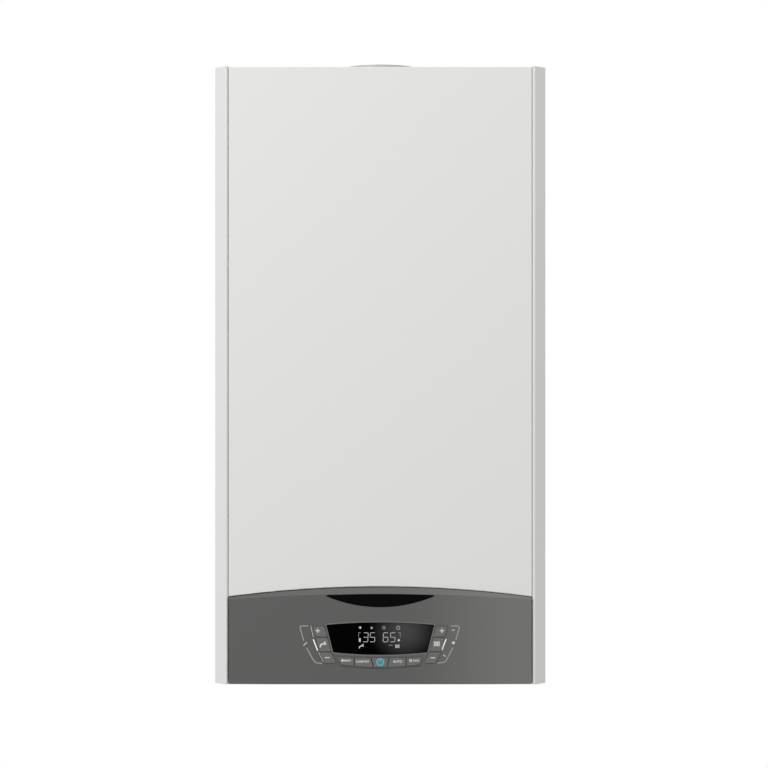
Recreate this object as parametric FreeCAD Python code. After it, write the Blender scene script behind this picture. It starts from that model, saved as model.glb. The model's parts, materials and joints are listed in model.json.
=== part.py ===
import FreeCAD
import Part

import math
import os

# Wall-hung condensing gas boiler, in millimetres.
# X runs to the right seen from the front, Y from the front back to the wall, Z up.
# The origin lies on the wall plane, midway between the two screw holes of the wall bracket.

Vector = FreeCAD.Vector
RIGHT = Vector(1, 0, 0)
BACK = Vector(0, 1, 0)
UP = Vector(0, 0, 1)
FRONT = -BACK
DOWN = -UP
NOWHERE = Vector(0, 0, 0)

# Whole case
CASE_WIDTH = 400.0
CASE_HEIGHT = 745.0
CASE_DEPTH = 319.0            # wall to the foremost point of the fascia
SHEET = 1.0                   # enamelled casing sheet
FRAME_SHEET = 1.5             # galvanised frame sheet
BEND = 0.5                    # inner radius of a fold
FIT_GAP = 0.3                 # between fixed pieces that lie side by side
SHAFT_GAP = 0.05              # radial play of a turning shaft
OVERRUN = 5.0                 # how far a cut runs past what it cuts
TOUCH = 0.001                 # nearness at which two places count as one

# Wall bracket
BRACKET_DROP = 70.0           # case top down to the screw holes
BRACKET_WIDTH = 280.0
BRACKET_RISE = 18.0           # plate above the screw holes
BRACKET_FALL = 22.0           # plate below the screw holes
BRACKET_SHEET = 2.5
BRACKET_HOLE = 10.0
BRACKET_HOLE_SPACING = 200.0
TONGUE_WIDTH = 36.0
TONGUE_SPACING = 120.0
TONGUE_RISE = 12.0            # upturned end of each tongue
TONGUE_PLAY = 0.5

# Rear frame
FRAME_STANDOFF = 16.0         # wall to the back of the frame plate
FRAME_FLANGE = 26.0           # side flanges, turned forward
FRAME_BOTTOM_RISE = 20.0

# Side panels
BEVEL_WIDTH = 14.4            # sloping strip, seen from the front
BEVEL_DEPTH = 15.0
BEVEL_BEND = 3.0
LIP_WIDTH = 2.2               # short slope from the ridge down to the front panel
LIP_DEPTH = 3.0
RETURN_DEPTH = 9.0
SEAL_FLANGE = 18.0
REAR_LIP = 16.0

# Top panel, bottom plate and crossbar
PANEL_TOP_DROP = 0.6          # top and front panels below the ridge
TOP_FLANGE = 14.0
BAY_HEIGHT = 55.0             # pipe bay under the bottom plate
PLATE_FLANGE = 16.0
PLATE_BOX_GAP = 8.0           # bottom plate behind the control box
HOLE_PLAY = 0.4               # radial play of pipes in the bottom plate
CROSSBAR_RISE = 121.0         # case bottom to the crossbar
CROSSBAR_HEIGHT = 20.0
CROSSBAR_FOLD = 10.0

# Front panel, its studs and seal
PANEL_RECESS = 2.0            # front face behind the ridge
PANEL_GAP = 0.5
PANEL_EDGE_RADIUS = 0.9
STUD_DIAMETER = 4.0
STUD_OVERHANG = 6.0           # stud past the seal flange
STUD_EDGE = 6.6               # stud axis in from the return
STUD_TOP_DROP = 40.0
CLIP_WALL = 1.0
CLIP_LIP = 0.8
CLIP_PLAY = 0.35
SEAL_WIDTH = 5.0
SEAL_EDGE = 1.0

# Flush case screws
SCREW_DIAMETER = 4.0
SCREW_HEAD_DIAMETER = 7.6
SCREW_HEAD_DEPTH = 1.8
SCREW_LENGTH = 8.0
SCREW_PLAY = 0.15
SCREW_SOCKET = 2.6            # width of the driver socket
SCREW_SOCKET_DEPTH = 1.0
FRAME_SCREW_SHARES = (0.12, 0.5, 0.92)
FLANGE_SCREW_SHARES = (0.35, 0.75)

# Fascia
FASCIA_TOP = 117.0            # crown of the fascia above the case bottom
FASCIA_SAG = 12.1             # fall of its top edge towards the sides
FASCIA_BULGE = 4.0            # middle of the fascia ahead of the ridge
FASCIA_BEVEL = 7.3            # height of the sloping top edge at the middle
FASCIA_BOTTOM_GAP = 0.6
FASCIA_SIDE_GAP = 1.0
FASCIA_TOP_GAP = 0.8
FASCIA_BACK = 2.5             # back of the fascia wall behind the ridge
FASCIA_RIM = 2.5
FASCIA_RIM_DEPTH = 5.0
FASCIA_BOTTOM_CHAMFER = 2.0

# Name lens and display window, both bare, heights above the case bottom
LENS_WIDTH = 129.0
LENS_TIP_RISE = 107.3
LENS_TIP = 1.2                # height of the blunt tips
LENS_CROWN = 1.9
LENS_BELLY = 13.6
LENS_THICKNESS = 1.6
LENS_PROUD = 0.25
DISPLAY_TOP_WIDTH = 129.6
DISPLAY_BOTTOM_SHARE = 0.87
DISPLAY_TOP_RISE = 72.1
DISPLAY_BOTTOM_RISE = 39.4
DISPLAY_CROWN = 3.1
DISPLAY_BELLY = 3.0
DISPLAY_THICKNESS = 2.4
DISPLAY_SUNK = 0.25
DISPLAY_LEDGE = 2.0
INSERT_GAP = 0.25             # round the lens and the display

# Keys
KEY_TOP_RISE = 71.0           # top of the side keys above the case bottom
KEY_COLUMN_HEIGHT = 45.2
KEY_COLUMN_SHARES = (0.0, 0.3, 0.69, 1.0)
KEY_INNER_SHARES = (0.519, 0.49, 0.456, 0.405)
SIDE_KEY_WIDTH = 14.0
ROW_WIDTH_SHARE = 0.795       # lower row of keys, in display widths
ROW_TOP_RISE = 33.6
ROW_HEIGHT = 8.2
ROW_TOP_SAG = 1.0
ROW_BOTTOM_SAG = 4.2
ROW_TOP_SHARES = (-0.5, -0.303, -0.105, 0.105, 0.303, 0.5)
ROW_BOTTOM_SHARES = (-0.47, -0.303, -0.08, 0.08, 0.303, 0.47)
KEY_GAP = 1.0                 # bar between neighbouring keys
KEY_PLAY = 0.3
KEY_PROUD = 1.3
KEY_CORNER = 0.9
KEY_EDGE_RADIUS = 0.5
KEY_LIP = 0.8
KEY_LIP_DEPTH = 1.2
KEY_LIP_GAP = 0.2
KEY_TRAVEL = 1.2
KEY_STEM_DIAMETER = 3.0
KEY_STEM_LENGTH = 2.0

# Control box and its boards
BOX_SIDE_GAP = 5.4            # box beside the flanges of the side panels
BOX_WALL = 2.0
BOX_BOTTOM_RISE = 4.0
BOX_DEPTH = 76.0
BOX_REAR_HEIGHT = 48.0
BOX_TOP_DEPTH = 48.0
BOX_HEIGHT = 90.0
HINGE_RISE = 16.0
HINGE_SETBACK = 40.0          # hinge behind the front panel's face
TRUNNION_DIAMETER = 8.0
TRUNNION_LENGTH = 6.0
EAR_SHEET = 2.0
EAR_GAP = 1.5
EAR_MARGIN = 7.0
BOARD_THICKNESS = 1.6
BOARD_MARGIN = 12.0
BOARD_STANDOFF = 5.0
STANDOFF_DIAMETER = 6.0
DISPLAY_BOARD_WIDTH = 176.0
DISPLAY_BOARD_HEIGHT = 58.0
SWITCH_SIZE = 5.0
SWITCH_HEIGHT = 1.4
TRANSFORMER_WIDTH = 44.0
TRANSFORMER_DEPTH = 34.0
TRANSFORMER_HEIGHT = 30.0
RELAY_WIDTH = 20.0
RELAY_DEPTH = 15.0
RELAY_HEIGHT = 16.0
RELAY_PITCH = 24.0
RELAY_COUNT = 3
CONNECTOR_WIDTH = 26.0
CONNECTOR_DEPTH = 9.0
CONNECTOR_HEIGHT = 11.0
CONNECTOR_PITCH = 32.0
CONNECTOR_COUNT = 4
CAPACITOR_DIAMETER = 14.0
CAPACITOR_HEIGHT = 22.0

# Flue
COLLAR_DIAMETER = 100.0
COLLAR_WALL = 3.0
COLLAR_RISE = 16.3            # collar rim above the case top
COLLAR_FLANGE_DIAMETER = 140.0
COLLAR_FLANGE = 4.0
GASKET = 1.5
SPOKE_COUNT = 3
SPOKE_WIDTH = 4.0
SPOKE_HEIGHT = 8.0
COLLAR_SCREW_RING = 120.0
COLLAR_SCREW_COUNT = 4
COLLAR_SCREW_HEAD = 7.0
COLLAR_SCREW_HEAD_HEIGHT = 2.6
COLLAR_SCREW_LENGTH = 10.0
TEST_PORT_DIAMETER = 12.0
TEST_PORT_HEIGHT = 4.0
TEST_CAP_DIAMETER = 15.0
TEST_CAP_HEIGHT = 5.0
EXHAUST_BORE = 60.4
EXHAUST_WALL = 2.0
EXHAUST_RISE = 12.0           # exhaust socket above the case top
EXHAUST_SOCKET = 60.0         # depth of the socket down to the seat for the flue pipe
EXHAUST_SEAT = 1.2            # width of that seat
LIP_SEAL_DEPTH = 14.0
LIP_SEAL_HEIGHT = 5.0
LIP_SEAL_WALL = 1.2
LIP_SEAL_SUNK = 0.2

# Heat exchanger drum and burner door
DRUM_RADIUS_SHARE = 0.149
DRUM_WALL = 2.0
DRUM_DROP_SHARE = 0.336       # case top to the drum axis
DRUM_FOOT = 22.0
DRUM_FOOT_DIAMETER = 14.0
DRUM_FOOT_SHARE = 0.62
DRUM_FLANGE = 12.0
DRUM_FLANGE_SHEET = 3.0
BURNER_SETBACK = 52.0         # drum front behind the front panel's face
SPIGOT_WALL = 3.5
SPIGOT_SEAT = 6.0
SPIGOT_DEPTH = 24.0
DRAIN_DIAMETER = 22.0
DRAIN_WALL = 3.0
DRAIN_LENGTH = 14.0
CORE_INNER_RADIUS_SHARE = 0.62
CORE_OUTER_RADIUS_SHARE = 0.84
CORE_WALL = 2.0
CORE_FIN_RADIUS_SHARE = 0.94
CORE_FIN = 3.0
CORE_FIN_COUNT = 9
CORE_END_GAP = 12.0
CORE_STUB_X_SHARE = 0.76
CORE_STUB_FROM_WALL = 95.0
CORE_STUB_LENGTH_SHARE = 0.88 # drum axis down to the end of each water stub
BURNER_RADIUS_SHARE = 0.34
BURNER_WALL = 1.5
BURNER_LENGTH = 140.0
BURNER_FLANGE = 8.0
DOOR_THICKNESS = 12.0
DOOR_SEAL = 2.0
DOOR_SEAL_WIDTH = 5.0
DOOR_EDGE_RADIUS = 3.0
DOOR_RIB = 3.0
DOOR_RIB_WIDTH = 5.0
DOOR_RIB_SHARE = 0.72
DOOR_NUT_COUNT = 6
DOOR_STUD_DIAMETER = 5.0
DOOR_NUT_WIDTH = 8.0
DOOR_NUT_HEIGHT = 4.0
DOOR_STUD_END = 3.0
ARM_DEPTH = 26.0
ARM_WALL = 3.0
ARM_EDGE_RADIUS = 4.0
ARM_LEFT = 32.0               # duct of the door past the drum axis
ELECTRODE_RADIUS = 4.5
ELECTRODE_RING_SHARE = 0.52
ELECTRODE_LENGTH = 24.0       # ceramic ahead of the door
ELECTRODE_TIP_RADIUS = 1.5
ELECTRODE_TIP_LENGTH = 40.0
ELECTRODE_PLATE = 2.0
ELECTRODE_PLATE_RADIUS = 10.0
ELECTRODE_ANGLES = (235.0, 270.0)

# Fan, air inlet and gas valve
FAN_NUT_GAP = 0.6             # fan flange and door duct beside the nearest door nuts
FAN_DROP_SHARE = 0.266        # drum axis to the fan axis
FAN_RADIUS_SHARE = 0.085
FAN_WALL = 3.0
FAN_EDGE_RADIUS = 4.0
FAN_FLANGE = 4.0
FAN_FLANGE_EDGE = 5.5
FAN_RISE_SHARE = 0.125        # fan axis up to its outlet flange
FAN_INLET_RADIUS = 18.0
IMPELLER_RADIUS_SHARE = 0.807
IMPELLER_EYE_RADIUS = 19.0
IMPELLER_WIDTH = 22.0
IMPELLER_SHEET = 2.0
IMPELLER_BLADES = 9
IMPELLER_HUB_RADIUS = 8.0
SHAFT_DIAMETER = 6.0
SHAFT_REACH = 20.0            # shaft into its motor
SHAFT_HOLE_PLAY = 1.0
MOTOR_RADIUS = 34.0
MOTOR_LENGTH = 44.0
MOTOR_EDGE_RADIUS = 6.0
MOTOR_BELT_RADIUS = 37.0
MOTOR_BELT = 10.0
VENTURI_LENGTH = 40.0
VENTURI_RADIUS = 25.0
VENTURI_BORE = 28.0
GAS_BOSS_DIAMETER = 20.0
GAS_BOSS_DROP = 14.0          # gas boss below the venturi
SILENCER_LENGTH = 60.0
SILENCER_RADIUS = 31.0
SILENCER_WALL = 2.5
SILENCER_MOUTH_RADIUS = 22.0
SILENCER_EDGE_RADIUS = 8.0
SILENCER_RIB = 1.5
SILENCER_RIB_WIDTH = 4.0
SILENCER_RIB_SHARES = (0.3, 0.5, 0.7)
VALVE_DROP_SHARE = 0.143      # fan axis to the valve's middle
VALVE_WIDTH = 76.0
VALVE_DEPTH = 58.0
VALVE_HEIGHT_SHARE = 0.095
VALVE_EDGE_RADIUS = 3.0
VALVE_PORT_INSET = 18.0
COIL_WIDTH = 30.0
COIL_HEIGHT_SHARE = 0.53
COIL_DEPTH = 20.0
COIL_GAP = 6.0
COIL_EDGE_RADIUS = 2.5
GAS_PIPE_DIAMETER = 18.0
GAS_PIPE_WALL = 1.0
GAS_NUT_WIDTH = 30.0
GAS_NUT_HEIGHT = 12.0
GAS_PIPE_BEND = 32.0
GAS_RISE_SHARE = 0.104        # straight gas pipe above its stub
GAS_SLOPE_DROP_SHARE = 0.06

# Condensate trap and hose
TRAP_X_SHARE = 1.08           # trap left of the middle, in stub spacings
TRAP_FROM_WALL = 166.0
TRAP_RISE_SHARE = 0.157       # trap above the stubs
TRAP_HEIGHT_SHARE = 0.179
TRAP_RADIUS = 27.0
TRAP_WALL = 2.5
TRAP_BAND = 2.0
TRAP_BAND_HEIGHT = 12.0
TRAP_DRAIN_DIAMETER = 20.0
TRAP_DRAIN_WALL = 2.0
TRAP_DRAIN_END = 8.0          # drain end above the case bottom
TRAP_STOP = 2.0               # stop ring of the drain under the bottom plate
TRAP_STOP_HEIGHT = 3.0
HOSE_DIAMETER = 24.0
HOSE_BORE = 16.0
HOSE_BEND = 30.0
HOSE_DROP_SHARE = 0.057

# Expansion vessel
VESSEL_GAP = 4.0              # vessel beside the drum flange
VESSEL_SIDE_GAP = 18.7        # vessel beside the case's side
VESSEL_FRONT_GAP = 25.5       # vessel behind the seal of the front panel
VESSEL_HEIGHT_SHARE = 0.546
VESSEL_TOP_DROP = 56.0
VESSEL_CORNER = 60.0
VESSEL_ROUND_SHARE = 0.34
VESSEL_WALL = 1.5
VESSEL_SEAM = 4.0
VESSEL_SEAM_WIDTH = 5.0
VESSEL_BACK_GAP = 14.0        # vessel ahead of the frame plate
VESSEL_LUG_WIDTH = 24.0
VESSEL_LUG_HEIGHT = 30.0
VESSEL_LUG_SHARES = (0.3, 0.7)
VESSEL_PORT = 8.0
VESSEL_PIPE_DIAMETER = 12.0
VESSEL_PIPE_WALL = 1.0
VESSEL_PIPE_FROM_WALL = 96.0

# Hydraulic blocks, plate exchanger and stubs
STUB_SPACING_SHARE = 0.1625
STUB_FROM_WALL = 120.0
STUB_END = 6.0                # stub end above the case bottom
STUB_THREAD = 32.0
STUB_HEX_HEIGHT = 10.0
STUB_HEX_MARGIN = 3.5
STUB_WALL = 3.0
STUB_CHAMFER = 1.2
HEATING_THREAD = 26.44        # outside diameter of a three-quarter inch thread
WATER_THREAD = 20.96          # outside diameter of a half inch thread
BLOCK_GAP = 18.5              # blocks above the bottom plate
BLOCK_HEIGHT_SHARE = 0.112
BLOCK_WIDTH = 110.0
BLOCK_DEPTH = 65.0
BLOCK_FRONT = 30.0            # block ahead of the stub axis
BLOCK_EDGE_RADIUS = 6.0
BLOCK_RIB = 2.0
BLOCK_RIB_WIDTH = 4.0
BLOCK_RIB_SHARES = (0.25, 0.5, 0.75)
PLATES_WIDTH = 184.0
PLATES_HEIGHT_SHARE = 0.96
PLATES_DEPTH = 42.0
PLATES_COUNT = 14
PLATES_GROOVE = 1.2
PLATES_GROOVE_DEPTH = 2.5
PLATES_CORNER = 16.0
PLATES_RISE = 6.0             # plate pack above the block bottoms
PIPE_DIAMETER = 18.0
PIPE_WALL = 1.0
PIPE_BEND = 28.0
PIPE_NUT_WIDTH = 28.0
PIPE_NUT_HEIGHT = 14.0
PIPE_CROSS_SHARES = (0.62, 0.38)
FLOW_PIPE_SHARE = 1.26        # flow pipe left of the middle, in stub spacings
SAFETY_X = 78.0
SAFETY_RISE_SHARE = 0.5
SAFETY_RADIUS = 11.0
SAFETY_LENGTH = 30.0
SAFETY_HEX_WIDTH = 26.0
SAFETY_HEX_LENGTH = 10.0
SAFETY_KNOB_RADIUS = 15.0
SAFETY_KNOB_LENGTH = 15.0
SAFETY_STEM_DIAMETER = 8.0
SAFETY_STEM_REACH = 12.0
KNOB_GAP = 0.8
KNOB_GRIPS = 8
KNOB_GRIP_SHARE = 0.16
KNOB_EDGE_RADIUS = 1.5
FILL_KNOB_SHARE = 0.2         # radius of the filling knob, in stub spacings
FILL_KNOB_LENGTH = 20.0
FILL_KNOB_GAP = 16.0          # knob below the bottom plate
FILL_STEM_REACH = 14.0
DIVERTER_FROM_WALL = 128.0
DIVERTER_SIZE = 42.0
DIVERTER_HEIGHT = 50.0
DIVERTER_NECK_RADIUS = 13.0
DIVERTER_NECK_HEIGHT = 16.0
DIVERTER_EDGE_RADIUS = 4.0
SPINDLE_DIAMETER = 6.0
SPINDLE_DISC_RADIUS = 8.0
SPINDLE_DISC = 4.0
SPINDLE_TRAVEL = 6.0
SPINDLE_CHAMBER_RADIUS = 9.0
SPINDLE_CHAMBER_HEIGHT = 24.0
SPINDLE_CHAMBER_FLOOR = 30.0
SPINDLE_REACH = 20.0          # spindle into the motor

# Pump
PUMP_RISE_SHARE = 0.075       # pump axis above the return block
PUMP_RADIUS_SHARE = 0.0687
PUMP_LENGTH = 46.0
PUMP_WALL = 4.0
PUMP_BACK = 14.0              # back of the pump behind the stub axis
PUMP_EDGE_RADIUS = 5.0
PUMP_PORT_DIAMETER = 28.0
PUMP_OUTLET_X_SHARE = 0.52
PUMP_OUTLET_RISE_SHARE = 0.095
PUMP_MOTOR_RADIUS_SHARE = 0.87
PUMP_MOTOR_LENGTH = 78.0
PUMP_MOTOR_EDGE = 7.0
PUMP_FINS = 12
PUMP_FIN_WIDTH = 3.0
PUMP_FIN_DEPTH = 3.0
PUMP_FIN_SHARE = 0.55
PUMP_BOX_WIDTH = 50.0
PUMP_BOX_HEIGHT = 20.0
PUMP_BOX_LENGTH = 44.0
ROTOR_RADIUS_SHARE = 0.78
ROTOR_WIDTH = 16.0
ROTOR_EYE_RADIUS = 13.0
ROTOR_BLADES = 7
VENT_RADIUS = 13.0
VENT_HEIGHT_SHARE = 0.069
VENT_CAP_RADIUS = 8.0
VENT_CAP_HEIGHT = 10.0
VENT_X_SHARE = 0.36

# Cable gland
GLAND_SETBACK = 38.5          # gland behind the front edge of the bottom plate
GLAND_BORE = 9.0
GLAND_THREAD = 16.0
GLAND_HEX_WIDTH = 22.0
GLAND_HEX_HEIGHT = 6.0
GLAND_DROP = 16.0
GLAND_RISE = 10.0
GLAND_CAP_DIAMETER = 19.0

# Sizes that follow the height left for the works
WORKS_HEIGHT = CASE_HEIGHT - BAY_HEIGHT - FRAME_SHEET - BLOCK_GAP
DRUM_DROP = WORKS_HEIGHT * DRUM_DROP_SHARE
DRUM_RADIUS = WORKS_HEIGHT * DRUM_RADIUS_SHARE
FAN_DROP = WORKS_HEIGHT * FAN_DROP_SHARE
FAN_RISE = WORKS_HEIGHT * FAN_RISE_SHARE
FAN_RADIUS = WORKS_HEIGHT * FAN_RADIUS_SHARE
VALVE_DROP = WORKS_HEIGHT * VALVE_DROP_SHARE
VALVE_HEIGHT = WORKS_HEIGHT * VALVE_HEIGHT_SHARE
TRAP_HEIGHT = WORKS_HEIGHT * TRAP_HEIGHT_SHARE
VESSEL_HEIGHT = WORKS_HEIGHT * VESSEL_HEIGHT_SHARE
BLOCK_HEIGHT = WORKS_HEIGHT * BLOCK_HEIGHT_SHARE
PUMP_RISE = WORKS_HEIGHT * PUMP_RISE_SHARE
PUMP_RADIUS = WORKS_HEIGHT * PUMP_RADIUS_SHARE
PUMP_OUTLET_RISE = WORKS_HEIGHT * PUMP_OUTLET_RISE_SHARE
GAS_RISE = WORKS_HEIGHT * GAS_RISE_SHARE
GAS_SLOPE_DROP = WORKS_HEIGHT * GAS_SLOPE_DROP_SHARE
HOSE_DROP = WORKS_HEIGHT * HOSE_DROP_SHARE
VENT_HEIGHT = WORKS_HEIGHT * VENT_HEIGHT_SHARE
CORE_INNER_RADIUS = DRUM_RADIUS * CORE_INNER_RADIUS_SHARE
CORE_OUTER_RADIUS = DRUM_RADIUS * CORE_OUTER_RADIUS_SHARE
CORE_FIN_RADIUS = DRUM_RADIUS * CORE_FIN_RADIUS_SHARE
BURNER_RADIUS = DRUM_RADIUS * BURNER_RADIUS_SHARE
CORE_STUB_X = DRUM_RADIUS * CORE_STUB_X_SHARE
CORE_STUB_LENGTH = DRUM_RADIUS * CORE_STUB_LENGTH_SHARE
IMPELLER_RADIUS = FAN_RADIUS * IMPELLER_RADIUS_SHARE
PUMP_MOTOR_RADIUS = PUMP_RADIUS * PUMP_MOTOR_RADIUS_SHARE
ROTOR_RADIUS = PUMP_RADIUS * ROTOR_RADIUS_SHARE
COIL_HEIGHT = VALVE_HEIGHT * COIL_HEIGHT_SHARE
PLATES_HEIGHT = BLOCK_HEIGHT * PLATES_HEIGHT_SHARE

# Places that follow from the sizes
TOP_Z = BRACKET_DROP
BOTTOM_Z = TOP_Z - CASE_HEIGHT
HALF_WIDTH = CASE_WIDTH / 2
SIDE_IN_X = HALF_WIDTH - SHEET
RIDGE_Y = FASCIA_BULGE - CASE_DEPTH
PANEL_Y = RIDGE_Y + PANEL_RECESS
SEAL_Y = RIDGE_Y + LIP_DEPTH + RETURN_DEPTH
RETURN_X = HALF_WIDTH - BEVEL_WIDTH - LIP_WIDTH
CORNER_Y = RIDGE_Y + BEVEL_DEPTH + BEVEL_BEND + SHEET
FLANGE_END_X = RETURN_X - SEAL_FLANGE
PANEL_HALF = RETURN_X - PANEL_GAP
PANEL_TOP_Z = TOP_Z - PANEL_TOP_DROP
INSIDE_X = SIDE_IN_X - FIT_GAP
FRAME_FACE_Y = -(FRAME_STANDOFF + FRAME_SHEET)
PLATE_Z = BOTTOM_Z + BAY_HEIGHT
FASCIA_HALF = RETURN_X - FASCIA_SIDE_GAP
FASCIA_BACK_Y = RIDGE_Y + FASCIA_BACK
FASCIA_FRONT_Y = RIDGE_Y - FASCIA_BULGE
ARC_RADIUS = (FASCIA_HALF**2 + FASCIA_SAG**2) / (2 * FASCIA_SAG)
ARC_CENTRE_Z = BOTTOM_Z + FASCIA_TOP - ARC_RADIUS
BOW_RADIUS = (FASCIA_HALF**2 + FASCIA_BULGE**2) / (2 * FASCIA_BULGE)
HINGE_Y = PANEL_Y + HINGE_SETBACK
HINGE_Z = BOTTOM_Z + HINGE_RISE
BOX_HALF = FLANGE_END_X - BOX_SIDE_GAP
BOX_REAR_Y = FASCIA_BACK_Y + BOX_DEPTH
DISPLAY_BOTTOM_WIDTH = DISPLAY_TOP_WIDTH * DISPLAY_BOTTOM_SHARE
ROW_WIDTH = DISPLAY_TOP_WIDTH * ROW_WIDTH_SHARE
PLATE_FRONT_Y = BOX_REAR_Y + PLATE_BOX_GAP
FLUE_Y = -CASE_DEPTH / 2
EXHAUST_RADIUS = EXHAUST_BORE / 2 + EXHAUST_WALL
THROAT_RADIUS = EXHAUST_BORE / 2 - EXHAUST_SEAT
DRUM_Z = TOP_Z - DRUM_DROP
DRUM_BACK_Y = FRAME_FACE_Y - DRUM_FOOT
DRUM_FRONT_Y = PANEL_Y + BURNER_SETBACK
FLANGE_RADIUS = DRUM_RADIUS + DRUM_FLANGE
DOOR_STUD_RADIUS = DRUM_RADIUS + DRUM_FLANGE * 2 / 3
LOW_STUD_X = DOOR_STUD_RADIUS * math.sin(math.pi / DOOR_NUT_COUNT)
NUT_REACH = DOOR_NUT_WIDTH / math.sqrt(3) + FAN_NUT_GAP
ARM_WIDTH = DOOR_STUD_RADIUS - LOW_STUD_X - FAN_FLANGE_EDGE - 2 * NUT_REACH
MIX_HOLE_RADIUS = ARM_WIDTH / 2 - ARM_WALL
DOOR_BACK_Y = DRUM_FRONT_Y - DOOR_SEAL
DOOR_FRONT_Y = DOOR_BACK_Y - DOOR_THICKNESS
ARM_FRONT_Y = DOOR_FRONT_Y - ARM_DEPTH
SPIGOT_SEAT_Z = DRUM_Z + DRUM_RADIUS + SPIGOT_SEAT
FAN_X = LOW_STUD_X + NUT_REACH + FAN_FLANGE_EDGE + ARM_WIDTH / 2
FAN_Y = ARM_FRONT_Y + FAN_RADIUS
FAN_Z = DRUM_Z - FAN_DROP
FAN_LEFT_X = FAN_X - ARM_WIDTH / 2
FAN_RIGHT_X = FAN_X + ARM_WIDTH / 2
VENTURI_LEFT_X = FAN_LEFT_X - VENTURI_LENGTH
GAS_BOSS_X = FAN_LEFT_X - VENTURI_LENGTH / 2
VALVE_RIGHT_X = GAS_BOSS_X + VALVE_PORT_INSET
VALVE_LEFT_X = VALVE_RIGHT_X - VALVE_WIDTH
VALVE_TOP_Z = FAN_Z - VALVE_DROP + VALVE_HEIGHT / 2
VALVE_BOTTOM_Z = VALVE_TOP_Z - VALVE_HEIGHT
GAS_INLET_X = VALVE_LEFT_X + VALVE_PORT_INSET
STUB_SPACING = CASE_WIDTH * STUB_SPACING_SHARE
STUB_Y = -STUB_FROM_WALL
FLOW_PIPE_X = -STUB_SPACING * FLOW_PIPE_SHARE
STUB_TOP_Z = PLATE_Z + FRAME_SHEET + BLOCK_GAP
BLOCK_TOP_Z = STUB_TOP_Z + BLOCK_HEIGHT
BLOCK_FRONT_Y = STUB_Y - BLOCK_FRONT
BLOCK_BACK_Y = BLOCK_FRONT_Y + BLOCK_DEPTH
BLOCK_MID_X = STUB_SPACING * 3 / 2
PUMP_X = STUB_SPACING * 2
PUMP_Z = BLOCK_TOP_Z + PUMP_RISE
PUMP_BACK_Y = STUB_Y + PUMP_BACK
PUMP_FRONT_Y = PUMP_BACK_Y - PUMP_LENGTH
PUMP_OUTLET_X = PUMP_X - PUMP_RADIUS * PUMP_OUTLET_X_SHARE
DIVERTER_X = -PUMP_X
DIVERTER_Y = -DIVERTER_FROM_WALL
SAFETY_Z = STUB_TOP_Z + BLOCK_HEIGHT * SAFETY_RISE_SHARE
FILL_X = BLOCK_MID_X
FILL_KNOB_RADIUS = STUB_SPACING * FILL_KNOB_SHARE
TRAP_X = -STUB_SPACING * TRAP_X_SHARE
TRAP_Y = -TRAP_FROM_WALL
GLAND_X = -STUB_SPACING / 2
GLAND_Y = PLATE_FRONT_Y + GLAND_SETBACK
TRAP_BOTTOM_Z = STUB_TOP_Z + WORKS_HEIGHT * TRAP_RISE_SHARE
TRAP_TOP_Z = TRAP_BOTTOM_Z + TRAP_HEIGHT
VESSEL_RIGHT_X = -(FLANGE_RADIUS + VESSEL_GAP)
VESSEL_WIDTH = INSIDE_X - VESSEL_SIDE_GAP + VESSEL_RIGHT_X
VESSEL_ROUND = VESSEL_WIDTH * VESSEL_ROUND_SHARE
VESSEL_X = VESSEL_RIGHT_X - VESSEL_WIDTH / 2
VESSEL_BACK_Y = FRAME_FACE_Y - VESSEL_BACK_GAP
VESSEL_FRONT_Y = SEAL_Y + VESSEL_FRONT_GAP
VESSEL_TOP_Z = TOP_Z - VESSEL_TOP_DROP
VESSEL_BOTTOM_Z = VESSEL_TOP_Z - VESSEL_HEIGHT
VESSEL_PIPE_Y = -VESSEL_PIPE_FROM_WALL
CORE_STUB_Y = -CORE_STUB_FROM_WALL
CORE_STUB_Z = DRUM_Z - CORE_STUB_LENGTH


# Plain shapes

def block(x0, x1, y0, y1, z0, z1):
    return Part.makeBox(x1 - x0, y1 - y0, z1 - z0, Vector(x0, y0, z0))


def rod(radius, start, axis, length):
    return Part.makeCylinder(radius, length, start, axis)


def hole(radius, start, axis, length):
    """A rod that runs past both ends, for cutting."""
    return rod(radius, start - axis * OVERRUN, axis, length + 2 * OVERRUN)


def tube(radius, bore_radius, start, axis, length):
    return rod(radius, start, axis, length).cut(hole(bore_radius, start, axis, length))


def prism(points, push):
    return Part.Face(Part.makePolygon(points + points[:1])).extrude(push)


def hexagon(width, start, axis, length):
    """A hexagonal bar, width across its flats."""
    across = RIGHT if abs(axis.x) < abs(axis.z) + abs(axis.y) else BACK
    corner = width / math.sqrt(3)
    spin = FreeCAD.Rotation(axis, 60)
    arm = across * corner
    points = []
    for _ in range(6):
        points.append(start + arm)
        arm = spin.multVec(arm)
    return prism(points, axis * length)


def fuse(*shapes):
    return shapes[0].multiFuse(list(shapes[1:])).removeSplitter()


def cut(shape, *tools):
    return shape.cut(list(tools))


def mirrored(shape):
    """The same shape on the other side of the middle plane."""
    return shape.mirror(NOWHERE, RIGHT)


def ring_places(centre, axis, start, count):
    """Places spaced evenly round an axis; start is the first one's offset from the centre."""
    return [centre + FreeCAD.Rotation(axis, 360 * i / count).multVec(start) for i in range(count)]


def turned_copies(shape, centre, axis, count):
    copies = []
    for i in range(count):
        copy = shape.copy()
        copy.rotate(centre, axis, 360 * i / count)
        copies.append(copy)
    return copies


def edges_at(shape, axis, level):
    """Edges that lie wholly in the plane across one axis at a level."""
    low, high = {"x": ("XMin", "XMax"), "y": ("YMin", "YMax"), "z": ("ZMin", "ZMax")}[axis]
    found = []
    for edge in shape.Edges:
        ends = (getattr(edge.BoundBox, low), getattr(edge.BoundBox, high))
        if all(abs(end - level) < TOUCH for end in ends):
            found.append(edge)
    return found


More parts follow.
